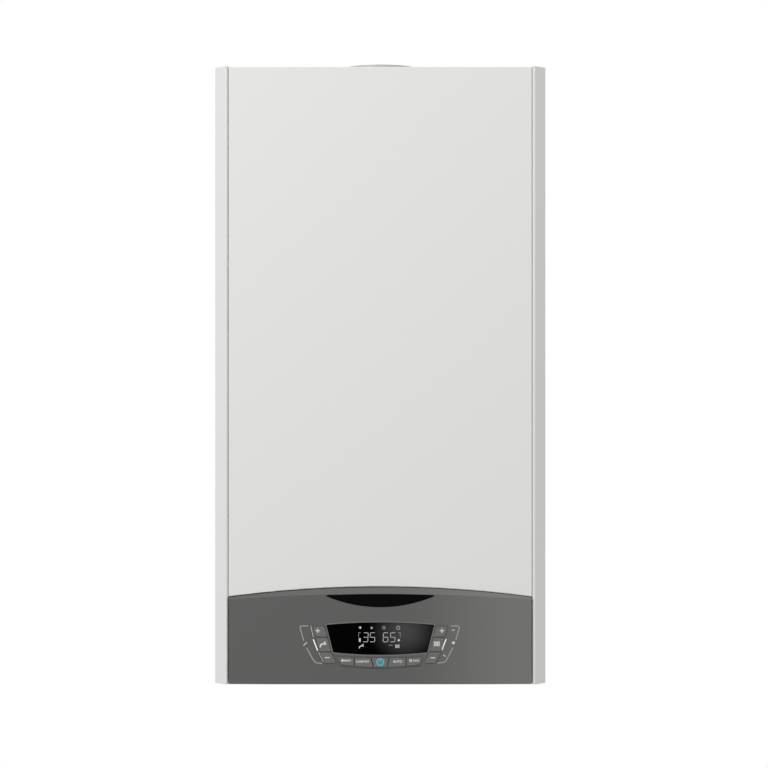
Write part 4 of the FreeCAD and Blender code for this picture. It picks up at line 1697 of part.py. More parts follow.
def key(corners, lip_way):
    lip_y = FASCIA_BACK_Y + KEY_LIP_GAP
    cap = key_prism(corners, 0).common(bowed_slab(KEY_PROUD, lip_y + KEY_LIP_DEPTH, HALF_WIDTH))
    front = [e for e in cap.Edges if e.BoundBox.YMax < FASCIA_FRONT_Y]
    cap = cap.makeFillet(KEY_EDGE_RADIUS, front)
    lip_zone = block(-HALF_WIDTH, HALF_WIDTH, lip_y, lip_y + KEY_LIP_DEPTH, BOTTOM_Z, TOP_Z)
    lips = []
    for step in (-KEY_LIP, KEY_LIP):
        lip = key_prism(corners, 0).common(lip_zone)
        lip.translate(lip_way * step)
        lips.append(lip)
    middle = sum(corners, NOWHERE) * (1 / len(corners))
    stem = rod(KEY_STEM_DIAMETER / 2, Vector(middle.x, lip_y, middle.z), BACK,
               KEY_LIP_DEPTH + KEY_STEM_LENGTH)
    return fuse(cap, *lips, stem)


def control_fascia():
    low = BOTTOM_Z + FASCIA_BOTTOM_GAP
    rim_y = FASCIA_BACK_Y + FASCIA_RIM_DEPTH
    depth = rim_y - FASCIA_FRONT_Y
    outline = arch_face(FASCIA_HALF, low, 0, ARC_RADIUS, FASCIA_FRONT_Y, True).extrude(BACK * depth)
    centre = Vector(0, PANEL_Y, ARC_CENTRE_Z)
    slope = Part.makeCone(ARC_RADIUS, ARC_RADIUS - FASCIA_BEVEL, PANEL_Y - FASCIA_FRONT_Y, centre, FRONT)
    straight = rod(ARC_RADIUS, centre, BACK, rim_y - PANEL_Y + OVERRUN)
    form = outline.common(bowed_slab(0, rim_y, HALF_WIDTH)).common(slope.fuse(straight))
    chamfer = prism([Vector(-HALF_WIDTH, FASCIA_FRONT_Y - OVERRUN, low - OVERRUN),
                     Vector(-HALF_WIDTH, FASCIA_FRONT_Y + FASCIA_BOTTOM_CHAMFER + OVERRUN, low - OVERRUN),
                     Vector(-HALF_WIDTH, FASCIA_FRONT_Y - OVERRUN,
                            low + FASCIA_BOTTOM_CHAMFER + OVERRUN)],
                    RIGHT * CASE_WIDTH)
    hollow = arch_face(FASCIA_HALF - FASCIA_RIM, low + FASCIA_RIM, 0, ARC_RADIUS - FASCIA_RIM,
                       FASCIA_BACK_Y, True)
    cuts = [chamfer, hollow.extrude(BACK * (FASCIA_RIM_DEPTH + OVERRUN))]
    lens_floor_y = FASCIA_FRONT_Y + LENS_THICKNESS - LENS_PROUD
    lens_room = bowed_slab(OVERRUN, lens_floor_y, LENS_WIDTH)
    cuts.append(through_prism(lens_wire(INSERT_GAP)).common(lens_room))
    display_floor_y = FASCIA_FRONT_Y + DISPLAY_SUNK + DISPLAY_THICKNESS
    display_room = bowed_slab(OVERRUN, display_floor_y, DISPLAY_TOP_WIDTH)
    cuts.append(through_prism(display_wire(INSERT_GAP)).common(display_room))
    cuts.append(through_prism(display_wire(-DISPLAY_LEDGE)))
    cuts += [key_prism(corners, KEY_PLAY) for _, corners, _ in key_table()]
    return cut(form, *cuts)


def name_lens():
    """The glossy black insert below the fascia's top edge, left bare."""
    back_y = FASCIA_FRONT_Y + LENS_THICKNESS - LENS_PROUD
    return through_prism(lens_wire(0)).common(bowed_slab(LENS_PROUD, back_y, LENS_WIDTH / 2 + OVERRUN))


def display_window():
    back_y = FASCIA_FRONT_Y + DISPLAY_SUNK + DISPLAY_THICKNESS
    return through_prism(display_wire(0)).common(bowed_slab(-DISPLAY_SUNK, back_y,
                                                            DISPLAY_TOP_WIDTH / 2 + OVERRUN))


def box_profile(inset):
    """Side outline of the control box; its front lies on the fascia."""
    low = BOTTOM_Z + BOX_BOTTOM_RISE + inset
    rear_y = BOX_REAR_Y - inset
    points = [(FASCIA_BACK_Y, low), (rear_y, low), (rear_y, low + BOX_REAR_HEIGHT - 2 * inset),
              (FASCIA_BACK_Y + BOX_TOP_DEPTH - inset, low + BOX_HEIGHT - 2 * inset),
              (FASCIA_BACK_Y, low + BOX_HEIGHT - 2 * inset)]
    return [Vector(inset - BOX_HALF, y, z) for y, z in points]


def board_level():
    return BOTTOM_Z + BOX_BOTTOM_RISE + BOX_WALL + BOARD_STANDOFF


def board_corners():
    half = BOX_HALF - BOX_WALL - BOARD_MARGIN
    front_y = FASCIA_BACK_Y + FASCIA_RIM_DEPTH + BOARD_MARGIN
    return -half, half, front_y, BOX_REAR_Y - BOX_WALL - BOARD_MARGIN / 2


def control_box():
    shell = prism(box_profile(0), RIGHT * (2 * BOX_HALF))
    room = prism([p + FRONT * OVERRUN if p.y == FASCIA_BACK_Y else p for p in box_profile(BOX_WALL)],
                 RIGHT * (2 * (BOX_HALF - BOX_WALL)))
    trunnions = [rod(TRUNNION_DIAMETER / 2, Vector(side * (BOX_HALF - BOX_WALL / 2), HINGE_Y, HINGE_Z),
                     RIGHT * side, TRUNNION_LENGTH + BOX_WALL / 2) for side in (-1, 1)]
    x0, x1, y0, y1 = board_corners()
    inset = STANDOFF_DIAMETER / 2
    posts = [rod(STANDOFF_DIAMETER / 2, Vector(x, y, board_level() - BOARD_STANDOFF - BOX_WALL / 2), UP,
                 BOARD_STANDOFF + BOX_WALL / 2) for x in (x0 + inset, x1 - inset)
             for y in (y0 + inset, y1 - inset)]
    return fuse(cut(shell, room), *trunnions, *posts)


def control_board():
    """Main board with its parts, and the display board behind the fascia with its screen and switches."""
    x0, x1, y0, y1 = board_corners()
    top = board_level() + BOARD_THICKNESS
    main = [block(x0, x1, y0, y1, board_level(), top),
            block(x0 + BOARD_MARGIN, x0 + BOARD_MARGIN + TRANSFORMER_WIDTH, y0 + TRANSFORMER_DEPTH / 6,
                  y0 + TRANSFORMER_DEPTH * 7 / 6, top, top + TRANSFORMER_HEIGHT)]
    relay_x = x0 + 2 * BOARD_MARGIN + TRANSFORMER_WIDTH
    for i in range(RELAY_COUNT):
        x = relay_x + RELAY_PITCH * i
        main.append(block(x, x + RELAY_WIDTH, y0 + BOARD_MARGIN / 2,
                          y0 + BOARD_MARGIN / 2 + RELAY_DEPTH, top, top + RELAY_HEIGHT))
    for i in range(CONNECTOR_COUNT):
        x = x1 - CONNECTOR_PITCH * (i + 1)
        main.append(block(x, x + CONNECTOR_WIDTH, y1 - CONNECTOR_DEPTH - FIT_GAP, y1 - FIT_GAP, top,
                          top + CONNECTOR_HEIGHT))
    capacitor = Vector(x1 - BOARD_MARGIN - CAPACITOR_DIAMETER, y0 + BOARD_MARGIN, top)
    main.append(rod(CAPACITOR_DIAMETER / 2, capacitor, UP, CAPACITOR_HEIGHT))
    stem_y = FASCIA_BACK_Y + KEY_LIP_GAP + KEY_LIP_DEPTH + KEY_STEM_LENGTH
    board_y = stem_y + KEY_TRAVEL + FIT_GAP + SWITCH_HEIGHT
    mid = BOTTOM_Z + (DISPLAY_TOP_RISE + DISPLAY_BOTTOM_RISE) / 2 - SWITCH_SIZE
    half = DISPLAY_BOARD_WIDTH / 2
    display = [block(-half, half, board_y, board_y + BOARD_THICKNESS, mid - DISPLAY_BOARD_HEIGHT / 2,
                     mid + DISPLAY_BOARD_HEIGHT / 2)]
    screen_front = FASCIA_FRONT_Y + DISPLAY_SUNK + DISPLAY_THICKNESS + FIT_GAP
    screen = through_prism(display_wire(-DISPLAY_LEDGE - INSERT_GAP))
    display.append(screen.common(block(-half, half, screen_front, board_y, BOTTOM_Z, TOP_Z)))
    for _, corners, _ in key_table():
        middle = sum(corners, NOWHERE) * (1 / len(corners))
        reach = SWITCH_SIZE / 2
        display.append(block(middle.x - reach, middle.x + reach, board_y - SWITCH_HEIGHT, board_y,
                             middle.z - reach,
                             middle.z + reach))
    return Part.makeCompound([fuse(*main), fuse(*display)])


PIECES = {
    "wall_bracket": wall_bracket(),
    "rear_frame": rear_frame(),
    "left_side_panel": left_side_panel(),
    "right_side_panel": mirrored(left_side_panel()),
    "top_panel": top_panel(),
    "bottom_plate": bottom_plate(),
    "front_crossbar": front_crossbar(),
    "case_screws": case_screws(),
    "front_panel": front_panel(),
    "stud_clips": stud_clips(),
    "front_panel_seal": front_panel_seal(),
    "flue_collar": flue_collar(),
    "gaskets": gaskets(),
    "test_point_caps": test_point_caps(),
    "exhaust_duct": exhaust_duct(),
    "exchanger_shell": exchanger_shell(),
    "exchanger_core": exchanger_core(),
    "burner_door": burner_door(),
    "burner_tube": burner_tube(),
    "door_nuts": door_nuts(),
    "electrodes": electrodes(),
    "fan_housing": fan_housing(),
    "fan_impeller": fan_impeller(),
    "fan_motor": fan_motor(),
    "air_silencer": air_silencer(),
    "gas_valve": gas_valve(),
    "gas_pipes": gas_pipes(),
    "condensate_hose": condensate_hose(),
    "condensate_trap": condensate_trap(),
    "expansion_vessel": expansion_vessel(),
    "water_pipes": water_pipes(),
    "return_block": return_block(),
    "flow_block": flow_block(),
    "plate_exchanger": plate_exchanger(),
    "diverter_motor": diverter_motor(),
    "diverter_spindle": diverter_spindle(),
    "safety_valve": safety_valve(),
    "safety_valve_knob": safety_valve_knob(),
    "filling_knob": filling_knob(),
    "pipe_stubs": pipe_stubs(),
    "pump_volute": pump_volute(),
    "pump_motor": pump_motor(),
    "pump_rotor": pump_rotor(),
    "cable_gland": cable_gland(),
    "control_fascia": control_fascia(),
    "name_lens": name_lens(),
    "display_window": display_window(),
    "control_box": control_box(),
    "control_board": control_board(),
}
PIECES.update({name: key(corners, lip_way) for name, corners, lip_way in key_table()})

os.makedirs("parts", exist_ok=True)
for node, shape in PIECES.items():
    shape.exportStep(f"parts/{node}.step")
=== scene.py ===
"""Looks of a wall-hung gas boiler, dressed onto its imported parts."""

import json
import math

import bmesh
import bpy
from mathutils import Matrix, Vector


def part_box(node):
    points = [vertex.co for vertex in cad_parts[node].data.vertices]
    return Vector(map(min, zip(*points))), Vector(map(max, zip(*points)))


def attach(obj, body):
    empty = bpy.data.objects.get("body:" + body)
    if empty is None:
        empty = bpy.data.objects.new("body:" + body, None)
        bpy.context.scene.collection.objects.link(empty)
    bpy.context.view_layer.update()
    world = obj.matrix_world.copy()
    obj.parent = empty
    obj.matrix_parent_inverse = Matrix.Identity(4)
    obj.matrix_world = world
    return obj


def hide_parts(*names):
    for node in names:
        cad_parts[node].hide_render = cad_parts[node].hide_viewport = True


bl_info = {
    "name": "Wall-hung gas boiler",
    "version": (1, 0, 0),
    "blender": (4, 5, 0),
    "location": "3D View > Sidebar > Boiler",
    "description": "Finishes, print, display, threads, leads, small fittings and stage of a gas boiler",
    "category": "Object",
}

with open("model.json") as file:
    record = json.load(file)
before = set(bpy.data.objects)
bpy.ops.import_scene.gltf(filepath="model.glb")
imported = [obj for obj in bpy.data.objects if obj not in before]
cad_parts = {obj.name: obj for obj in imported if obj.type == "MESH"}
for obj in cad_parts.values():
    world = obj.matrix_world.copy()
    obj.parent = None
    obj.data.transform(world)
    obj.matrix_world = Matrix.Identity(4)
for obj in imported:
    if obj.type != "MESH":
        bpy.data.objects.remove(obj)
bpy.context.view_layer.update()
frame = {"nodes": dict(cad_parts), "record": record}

MM = 0.001
CASE_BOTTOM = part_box("left_side_panel")[0].z  # height of the case's lower edge
FASCIA_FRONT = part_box("control_fascia")[0].y  # foremost line of the bowed fascia
FASCIA_HALF_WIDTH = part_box("control_fascia")[1].x
FASCIA_RISE = 0.004  # the bow's middle ahead of its ends
BOW_RADIUS = (FASCIA_HALF_WIDTH**2 + FASCIA_RISE**2) / (2 * FASCIA_RISE)
KEY_PROUD = FASCIA_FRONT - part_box("key_power")[0].y  # key tops ahead of the fascia
GLASS_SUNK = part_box("display_window")[0].y - FASCIA_FRONT  # display glass behind the fascia


def node_box(node):
    """Lowest and highest corner of a part of the boiler, in millimetres."""
    return [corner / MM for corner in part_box(node)]


# Materials

MOTTLE_DETAIL = 3.0
GRAIN_DETAIL = 2.0
SPANGLE_SPREAD = (-0.06, 0.08)  # how much smoother and rougher single crystals are


def linear(code):
    """A written sRGB colour as linear RGBA."""
    shares = [int(code[i:i + 2], 16) / 255 for i in (1, 3, 5)]
    return [s / 12.92 if s <= 0.04045 else ((s + 0.055) / 1.055)**2.4 for s in shares] + [1.0]


def add_node(tree, kind, inputs, **properties):
    """One shader node; an input is a value, or the output that feeds it."""
    made = tree.nodes.new(kind)
    for name, value in properties.items():
        setattr(made, name, value)
    for name, value in inputs.items():
        if isinstance(value, bpy.types.NodeSocket):
            tree.links.new(value, made.inputs[name])
        else:
            made.inputs[name].default_value = value
    return made


def pattern_noise(tree, place, size, stretch, detail):
    """Noise whose blotches are about size millimetres wide, drawn out along the stretched axes."""
    scale = [1 / (size * MM * s) for s in stretch]
    mapped = add_node(tree, "ShaderNodeMapping", {"Vector": place, "Scale": scale}).outputs["Vector"]
    noise = add_node(tree, "ShaderNodeTexNoise", {"Vector": mapped, "Scale": 1.0, "Detail": detail})
    return noise.outputs["Fac"]


def make_material(name, colour, rough, metal=0.0, grain=None, mottle=None, spangle=None, glow=0.0,
                  coat=0.0, reflect=0.5, stretch=(1, 1, 1), painted_sheen_fade=None, painted_sheen_patch=None):
    """A procedural finish. grain is (size, depth) of a surface texture in mm, mottle is (size, second
    colour), spangle is the size of zinc crystals in mm, fade is (start, end, colour) of a painted sheen
    that grows along X in mm, patch is (centre, reach, colour) of a soft round painted sheen in mm."""
    material = bpy.data.materials.new(name)
    material.use_nodes = True
    tree = material.node_tree
    shader = tree.nodes["Principled BSDF"]
    shader.inputs["Base Color"].default_value = linear(colour)
    shader.inputs["Roughness"].default_value = rough
    shader.inputs["Metallic"].default_value = metal
    shader.inputs["Coat Weight"].default_value = coat
    if not metal:
        shader.inputs["Specular IOR Level"].default_value = reflect
    if glow:
        shader.inputs["Emission Color"].default_value = linear(colour)
        shader.inputs["Emission Strength"].default_value = glow
    if any((grain, mottle, spangle, painted_sheen_fade, painted_sheen_patch)):
        place = add_node(tree, "ShaderNodeTexCoord", {}).outputs["Object"]
    tint = None
    if mottle:
        tint = (pattern_noise(tree, place, mottle[0], stretch, MOTTLE_DETAIL), colour, mottle[1])
    # painted sheen: the base colour lightens smoothly along X
    if painted_sheen_fade:
        across = add_node(tree, "ShaderNodeSeparateXYZ", {"Vector": place}).outputs["X"]
        ends = {"Value": across, "From Min": painted_sheen_fade[0] * MM, "From Max": painted_sheen_fade[1] * MM}
        share = add_node(tree, "ShaderNodeMapRange", ends, interpolation_type="SMOOTHSTEP")
        tint = (share.outputs["Result"], colour, painted_sheen_fade[2])
    # painted sheen: a soft round lighter spot in the base colour
    if painted_sheen_patch:
        spot = {"Vector": place, "Location": [c * MM for c in painted_sheen_patch[0]], "Scale": [r * MM for r in painted_sheen_patch[1]]}
        mapped = add_node(tree, "ShaderNodeMapping", spot, vector_type="TEXTURE").outputs["Vector"]
        away = add_node(tree, "ShaderNodeVectorMath", {0: mapped}, operation="LENGTH").outputs["Value"]
        share = add_node(tree, "ShaderNodeMapRange", {"Value": away}, interpolation_type="SMOOTHSTEP")
        tint = (share.outputs["Result"], painted_sheen_patch[2], colour)
    if tint:
        ways = {0: tint[0], 6: linear(tint[1]), 7: linear(tint[2])}
        mix = add_node(tree, "ShaderNodeMix", ways, data_type="RGBA")
        tree.links.new(mix.outputs[2], shader.inputs["Base Color"])
    if spangle:
        cells = add_node(tree, "ShaderNodeTexVoronoi", {"Vector": place, "Scale": 1 / (spangle * MM)})
        tone = add_node(tree, "ShaderNodeSeparateColor", {"Color": cells.outputs["Color"]}).outputs[0]
        smooth, dull = [rough + change for change in SPANGLE_SPREAD]
        ramp = add_node(tree, "ShaderNodeMapRange", {"Value": tone, "To Min": smooth, "To Max": dull})
        tree.links.new(ramp.outputs["Result"], shader.inputs["Roughness"])
    if grain:
        noise = pattern_noise(tree, place, grain[0], stretch, GRAIN_DETAIL)
        relief = {"Height": noise, "Strength": 1.0, "Distance": grain[1] * MM}
        bump = add_node(tree, "ShaderNodeBump", relief)
        tree.links.new(bump.outputs["Normal"], shader.inputs["Normal"])
    return material


FINISHES = {
    # baked white enamel: an even, slightly warm sheen with the faintest orange peel
    "enamel_baked_white": dict(rough=0.42, grain=(2.2, 0.006)),
    # galvanised sheet: dull grey with crystals that catch the light differently
    "steel_galvanised": dict(colour="#B9BDC0", rough=0.42, metal=1.0, spangle=9.0),
    # zinc-plated fasteners: bright and clean
    "zinc_plated": dict(colour="#CDCFD0", rough=0.26, metal=1.0),
    # brushed stainless: lines along the sheet, drawn coarser than real ones so that they show
    "stainless_brushed": dict(colour="#C3C5C6", rough=0.3, metal=1.0, grain=(0.5, 0.01),
                              stretch=(12, 1, 1)),
    # sand-cast aluminium: mid grey and a little uneven, its skin drawn coarser than sand so that it shows
    "aluminium_sand_cast": dict(colour="#A9ACAE", rough=0.5, metal=1.0, grain=(1.1, 0.05),
                                mottle=(16.0, "#92959A")),
    # primed cast iron: near black with a coarse skin
    "iron_cast_primed": dict(colour="#3A3C3E", rough=0.6, grain=(1.6, 0.09)),
    # machined brass: warm yellow, a shade browner in patches
    "brass_machined": dict(colour="#D2AC62", rough=0.28, metal=1.0, mottle=(14.0, "#B98F49")),
    # drawn copper tube: reddish, dulled in patches
    "copper_drawn": dict(colour="#C98662", rough=0.3, metal=1.0, mottle=(22.0, "#9C5F45")),
    # red vessel paint: glossy, with a little flow in it
    "paint_red_gloss": dict(rough=0.22, coat=0.4, grain=(6.0, 0.02)),
    # fascia moulding: dark warm grey with a fine leathery texture, and a painted sheen that lightens it
    # towards its right end
    "plastic_fascia_grey_painted_sheen": dict(rough=0.46, grain=(0.35, 0.012), painted_sheen_fade=(10, 175, "#6B6B69")),
    # key moulding: a lighter grey than the fascia's left end, and a little smoother
    "plastic_key_satin": dict(rough=0.38, grain=(0.5, 0.006)),
    # bright rim moulded round the display
    "plastic_rim_grey": dict(colour="#6F706D", rough=0.4),
    # polished black insert: deep, with barely a reflection
    "plastic_black_polished": dict(colour="#050506", rough=0.15, reflect=0.03),
    # smoked display glass: blacker still, with a soft painted sheen right of the middle
    "glass_smoked_painted_sheen": dict(colour="#010101", rough=0.12, reflect=0.012,
                         painted_sheen_patch=((29, -317, -611), (46, 100, 40), "#474747")),
    # moulded black plastic: matt with a faint grain
    "plastic_black_moulded": dict(colour="#26272A", rough=0.5, grain=(0.6, 0.015)),
    # moulded grey plastic of the drum, the trap and the wheels: half matt
    "plastic_grey_moulded": dict(colour="#8B8E91", rough=0.48, grain=(0.8, 0.015)),
    # moulded off-white plastic of the duct, the clips and the diverter's motor: a soft sheen
    "plastic_white_moulded": dict(colour="#DDDDDA", rough=0.4, grain=(0.8, 0.01)),
    # light grey moulded plastic of the flue collar: a shade darker than the white case
    "plastic_collar_grey": dict(colour="#B9BAB8", rough=0.42, grain=(0.8, 0.01)),
    # moulded red and blue plastic of the two knobs: plain colours with a soft sheen
    "plastic_red_moulded": dict(colour="#B8261F", rough=0.4, grain=(0.6, 0.012)),
    "plastic_blue_moulded": dict(colour="#24569E", rough=0.4, grain=(0.6, 0.012)),
    # moulded rubber: matt black
    "rubber_black": dict(colour="#202022", rough=0.75, grain=(0.5, 0.02)),
    # open-cell foam: dark grey and porous
    "foam_grey": dict(colour="#55585A", rough=0.95, grain=(1.0, 0.25), mottle=(1.2, "#3E4042")),
    # circuit board: green solder mask in two close shades
    "board_solder_mask": dict(colour="#1F6B3A", rough=0.35, mottle=(4.0, "#16522C")),
    # glazed ceramic of the electrodes: creamy and glossy
    "ceramic_glazed": dict(colour="#E9E6DC", rough=0.15),
    # white print on the fascia and keys
    "print_white": dict(colour="#DADBD9", rough=0.6),
    # grey print of the quieter lines
    "print_grey": dict(colour="#999A98", rough=0.6),
    # blue lamp of the power key: a lit ring round a darker lens
    "lamp_blue_ring": dict(rough=0.5, glow=0.12),
    "lamp_blue_lens": dict(colour="#3C7787", rough=0.4, glow=0.08),
    # lit figures and symbols of the display
    "symbol_lit": dict(colour="#BDC1C0", rough=0.6, glow=0.12),
    "symbol_dim": dict(colour="#A2A6A5", rough=0.6, glow=0.06),
    # light guides: lit white, and unlit grey
    "guide_lit": dict(colour="#EDEEEC", rough=0.4, glow=0.2),
    "guide_unlit": dict(colour="#A9ABA9", rough=0.4),
    # painted shade: dark strokes beside the light guides and under the row of keys, where shade falls in
    # slots and gaps
    "slot_shade": dict(colour="#2C2D2C", rough=0.7),
    # silicone sleeve of the ignition leads: matt brick red
    "silicone_red": dict(colour="#A8382C", rough=0.55, grain=(0.5, 0.01)),
}

KEYS = ("key_left_plus", "key_left_mode", "key_left_minus", "key_right_plus", "key_right_mode",
        "key_right_minus", "key_menu", "key_comfort", "key_power", "key_auto", "key_info")

NODE_FINISHES = {
    "enamel_baked_white": ("left_side_panel", "right_side_panel", "top_panel", "front_panel"),
    "steel_galvanised": ("wall_bracket", "rear_frame", "bottom_plate", "front_crossbar"),
    "zinc_plated": ("case_screws", "door_nuts"),
    "stainless_brushed": ("exchanger_core", "burner_tube", "plate_exchanger", "diverter_spindle"),
    "aluminium_sand_cast": ("burner_door", "fan_housing", "gas_valve"),
    "iron_cast_primed": ("pump_volute",),
    "brass_machined": ("safety_valve", "pipe_stubs"),
    "copper_drawn": ("gas_pipes", "water_pipes"),
    "paint_red_gloss": ("expansion_vessel",),
    "plastic_fascia_grey_painted_sheen": ("control_fascia",),
    "plastic_key_satin": KEYS,
    "plastic_black_polished": ("name_lens",),
    "glass_smoked_painted_sheen": ("display_window",),
    "plastic_black_moulded": ("test_point_caps", "fan_motor", "air_silencer", "return_block", "flow_block",
                              "pump_motor", "control_box"),
    "plastic_grey_moulded": ("exchanger_shell", "fan_impeller", "condensate_trap", "pump_rotor",
                             "cable_gland"),
    "plastic_collar_grey": ("flue_collar",),
    "plastic_white_moulded": ("stud_clips", "exhaust_duct", "diverter_motor"),
    "plastic_red_moulded": ("safety_valve_knob",),
    "plastic_blue_moulded": ("filling_knob",),
    "rubber_black": ("gaskets", "condensate_hose"),
    "foam_grey": ("front_panel_seal",),
    "board_solder_mask": ("control_board",),
    "ceramic_glazed": ("electrodes",),
}

# finishes whose colour is a setting
COLOUR_SETTINGS = {
    "enamel_baked_white": "case",
    "plastic_fascia_grey_painted_sheen": "fascia",
    "plastic_key_satin": "keys",
    "lamp_blue_ring": "power_lamp",
    "paint_red_gloss": "vessel",
}


def finish(name):
    """The named finish, made once."""
    values = dict(FINISHES[name])
    if name in COLOUR_SETTINGS:
        values["colour"] = getattr(bpy.context.scene.boiler_colours, COLOUR_SETTINGS[name])
    return bpy.data.materials.get(name) or make_material(name, **values)


# Shapes

MITRE_LIMIT = 0.4  # keeps a line's sharp bends from growing long points
CAP_STEPS = 6  # steps round the end of a line
THREAD_SIDES = 48
THREAD_STEPS = 6  # levels in one turn of a thread
HEAD_SIDES = 36
WORD_GAIN_SHARE = 0.02  # how much bolder a word is drawn, as a share of its size

# edges that bend by more than this, in degrees, stay crisp
CRISP_FLAT = 30
CRISP_TURNED = 35
CRISP_MOULDED = 40


def new_piece(name, mesh, finish_name, body):
    """A finished mesh that rides on a body of the boiler."""
    piece = bpy.data.objects.new(name, mesh)
    bpy.context.scene.collection.objects.link(piece)
    mesh.materials.append(finish(finish_name))
    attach(piece, body)
    return piece


def stroke(points, width):
    """The outline of a line of even width with round ends, in millimetres on the panel."""
    points = [Vector(p) for p in points]
    half = width / 2
    left, right = [], []
    for i, point in enumerate(points):
        before = (point - points[i - 1]).normalized() if i else None
        after = (points[i + 1] - point).normalized() if i + 1 < len(points) else None
        onward = after or before
        way = ((before or after) + onward).normalized()
        across = Vector((-way.y, way.x))
        reach = half / max(MITRE_LIMIT, across.dot(Vector((-onward.y, onward.x))))
        left.append(point + across * reach)
        right.append(point - across * reach)
    first = (points[1] - points[0]).normalized()
    last = (points[-1] - points[-2]).normalized()

    def cap(centre, way):
        side = Vector((-way.y, way.x))
        turns = [math.pi * k / CAP_STEPS for k in range(1, CAP_STEPS)]
        return [centre + (side * math.cos(t) + way * math.sin(t)) * half for t in turns]

    return left + cap(points[-1], last) + right[::-1] + cap(points[0], -first)


def arc(centre, radius, start, end, count):
    """Points along an arc, angles in degrees counted from the right."""
    turns = [math.radians(start + (end - start) * i / count) for i in range(count + 1)]
    return [(centre[0] + radius * math.cos(t), centre[1] + radius * math.sin(t)) for t in turns]


def bowed_line(half_width, height, rise, steps):
    """Points from left to right along a line that rises, or sags, in its middle."""
    shares = [2 * i / steps - 1 for i in range(steps + 1)]
    return [(half_width * s, height + rise * (1 - s**2)) for s in shares]


def drawn(signs):
    """The outlines of icons, each given with its centre on the panel and its scale."""
    return [[(centre[0] + x * scale, centre[1] + z * scale) for x, z in outline]
            for icon, centre, scale in signs for outline in icon]


def bow(x, lift):
    """Depth of the bowed fascia at a distance from the middle, moved forward by lift."""
    return FASCIA_FRONT + BOW_RADIUS - math.sqrt(BOW_RADIUS**2 - x**2) - lift


def flat_mesh(name, form):
    """The finished mesh, with flat faces."""
    bmesh.ops.recalc_face_normals(form, faces=form.faces)
    mesh = bpy.data.meshes.new(name)
    form.to_mesh(mesh)
    form.free()
    return mesh


def smooth_piece(name, form, angle, finish_name, body="boiler"):
    """A piece that is smooth except across edges sharper than an angle in degrees."""
    mesh = flat_mesh(name, form)
    mesh.shade_smooth()
    mesh.set_sharp_from_angle(angle=math.radians(angle))
    return new_piece(name, mesh, finish_name, body)


def curve_mesh(name, curve):
    """The finished mesh of a curve or a word, which is then deleted."""
    holder = bpy.data.objects.new(name, curve)
    bpy.context.scene.collection.objects.link(holder)
    bpy.context.view_layer.update()
    mesh = bpy.data.meshes.new_from_object(holder.evaluated_get(bpy.context.evaluated_depsgraph_get()))
    bpy.data.objects.remove(holder)
    bpy.data.curves.remove(curve)
    mesh.name = name
    return mesh


def rings_mesh(form, rings, closed):
    """Quads between neighbouring rings of points; closed joins the last ring to the first."""
    rows = [[form.verts.new(p) for p in ring] for ring in rings]
    pairs = list(zip(rows, rows[1:])) + ([(rows[-1], rows[0])] if closed else [])
    for low, high in pairs:
        for i in range(len(low)):
            j = (i + 1) % len(low)
            form.faces.new((low[i], low[j], high[j], high[i]))


def plate_mesh(name, outlines, lift, depth):
    """Thin plates that follow the bow. Their outlines are in millimetres: x from the middle, and height
    above the case's lower edge."""
    form = bmesh.new()
    for outline in outlines:
        rings = []
        for back in (0, depth):
            rings.append([form.verts.new((x * MM, bow(x * MM, lift) + back, CASE_BOTTOM + z * MM))
                          for x, z in outline])
        form.faces.new(rings[0])
        form.faces.new(rings[1][::-1])
        for i in range(len(outline)):
            j = (i + 1) % len(outline)
            form.faces.new((rings[0][j], rings[0][i], rings[1][i], rings[1][j]))
    return flat_mesh(name, form)


def add_print(name, outlines, finish_name, ahead=0.0, body="control_panel"):
    """Flat marks on the panel, on a surface that stands ahead of the fascia by a distance."""
    marks = bpy.context.scene.boiler_marks
    mesh = plate_mesh(name, outlines, ahead + marks.lift, marks.depth)
    new_piece(name, mesh, finish_name, body)


def word_mesh(name, text, place, size, lift, depth):
    """A short word standing on the bowed panel, centred at a place in millimetres."""
    curve = bpy.data.curves.new(name, "FONT")
    curve.body = text
    curve.size = size * MM
    curve.align_x = "CENTER"
    curve.align_y = "CENTER"
    curve.extrude = depth / 2
    curve.offset = WORD_GAIN_SHARE * size * MM
    mesh = curve_mesh(name, curve)
    for vertex in mesh.vertices:
        x = place[0] * MM + vertex.co.x
        y = bow(x, lift) + depth / 2 - vertex.co.z
        vertex.co = (x, y, CASE_BOTTOM + place[1] * MM + vertex.co.y)
    return mesh


def level_ring(centre, reach, height, count):
    """Corners of a level circle or polygon."""
    turns = [math.tau * i / count for i in range(count)]
    return [(centre[0] + reach * math.cos(t), centre[1] + reach * math.sin(t), height) for t in turns]


def threaded_stub(form, centre, radius, bore, low, high, thread_high, settings):
    """A tube along Z with a chamfered end and a real helical thread on its lower part."""
    pitch, depth = settings.pitch, settings.depth
    step = pitch / THREAD_STEPS
    count = int((thread_high - low - depth) / step)
    turns = [math.tau * i / THREAD_SIDES for i in range(THREAD_SIDES)]

    def thread_ring(z):
        ring = []
        for turn in turns:
            phase = (z / pitch - turn / math.tau) % 1
            reach = radius - depth * abs(2 * phase - 1)
            ring.append((centre[0] + reach * math.cos(turn), centre[1] + reach * math.sin(turn), z))
        return ring

    def plain_rings(*sizes):
        return [level_ring(centre, reach, z, THREAD_SIDES) for reach, z in sizes]

    rings = plain_rings((bore, low), (radius - depth, low))
    rings += [thread_ring(low + depth + step * k) for k in range(count)]
    rings += plain_rings((radius, thread_high), (radius, high), (bore, high))
    rings_mesh(form, rings, True)


def hexagon_nut(form, centre, across, low, high, bevel):
    """A hexagon with bevelled ends round a tube."""
    corner = across / math.sqrt(3)
    levels = [(corner / 2, low), (corner - bevel, low), (corner, low + bevel / 2),
              (corner, high - bevel / 2), (corner - bevel, high), (corner / 2, high)]
    rings_mesh(form, [level_ring(centre, reach, z, 6) for reach, z in levels], True)


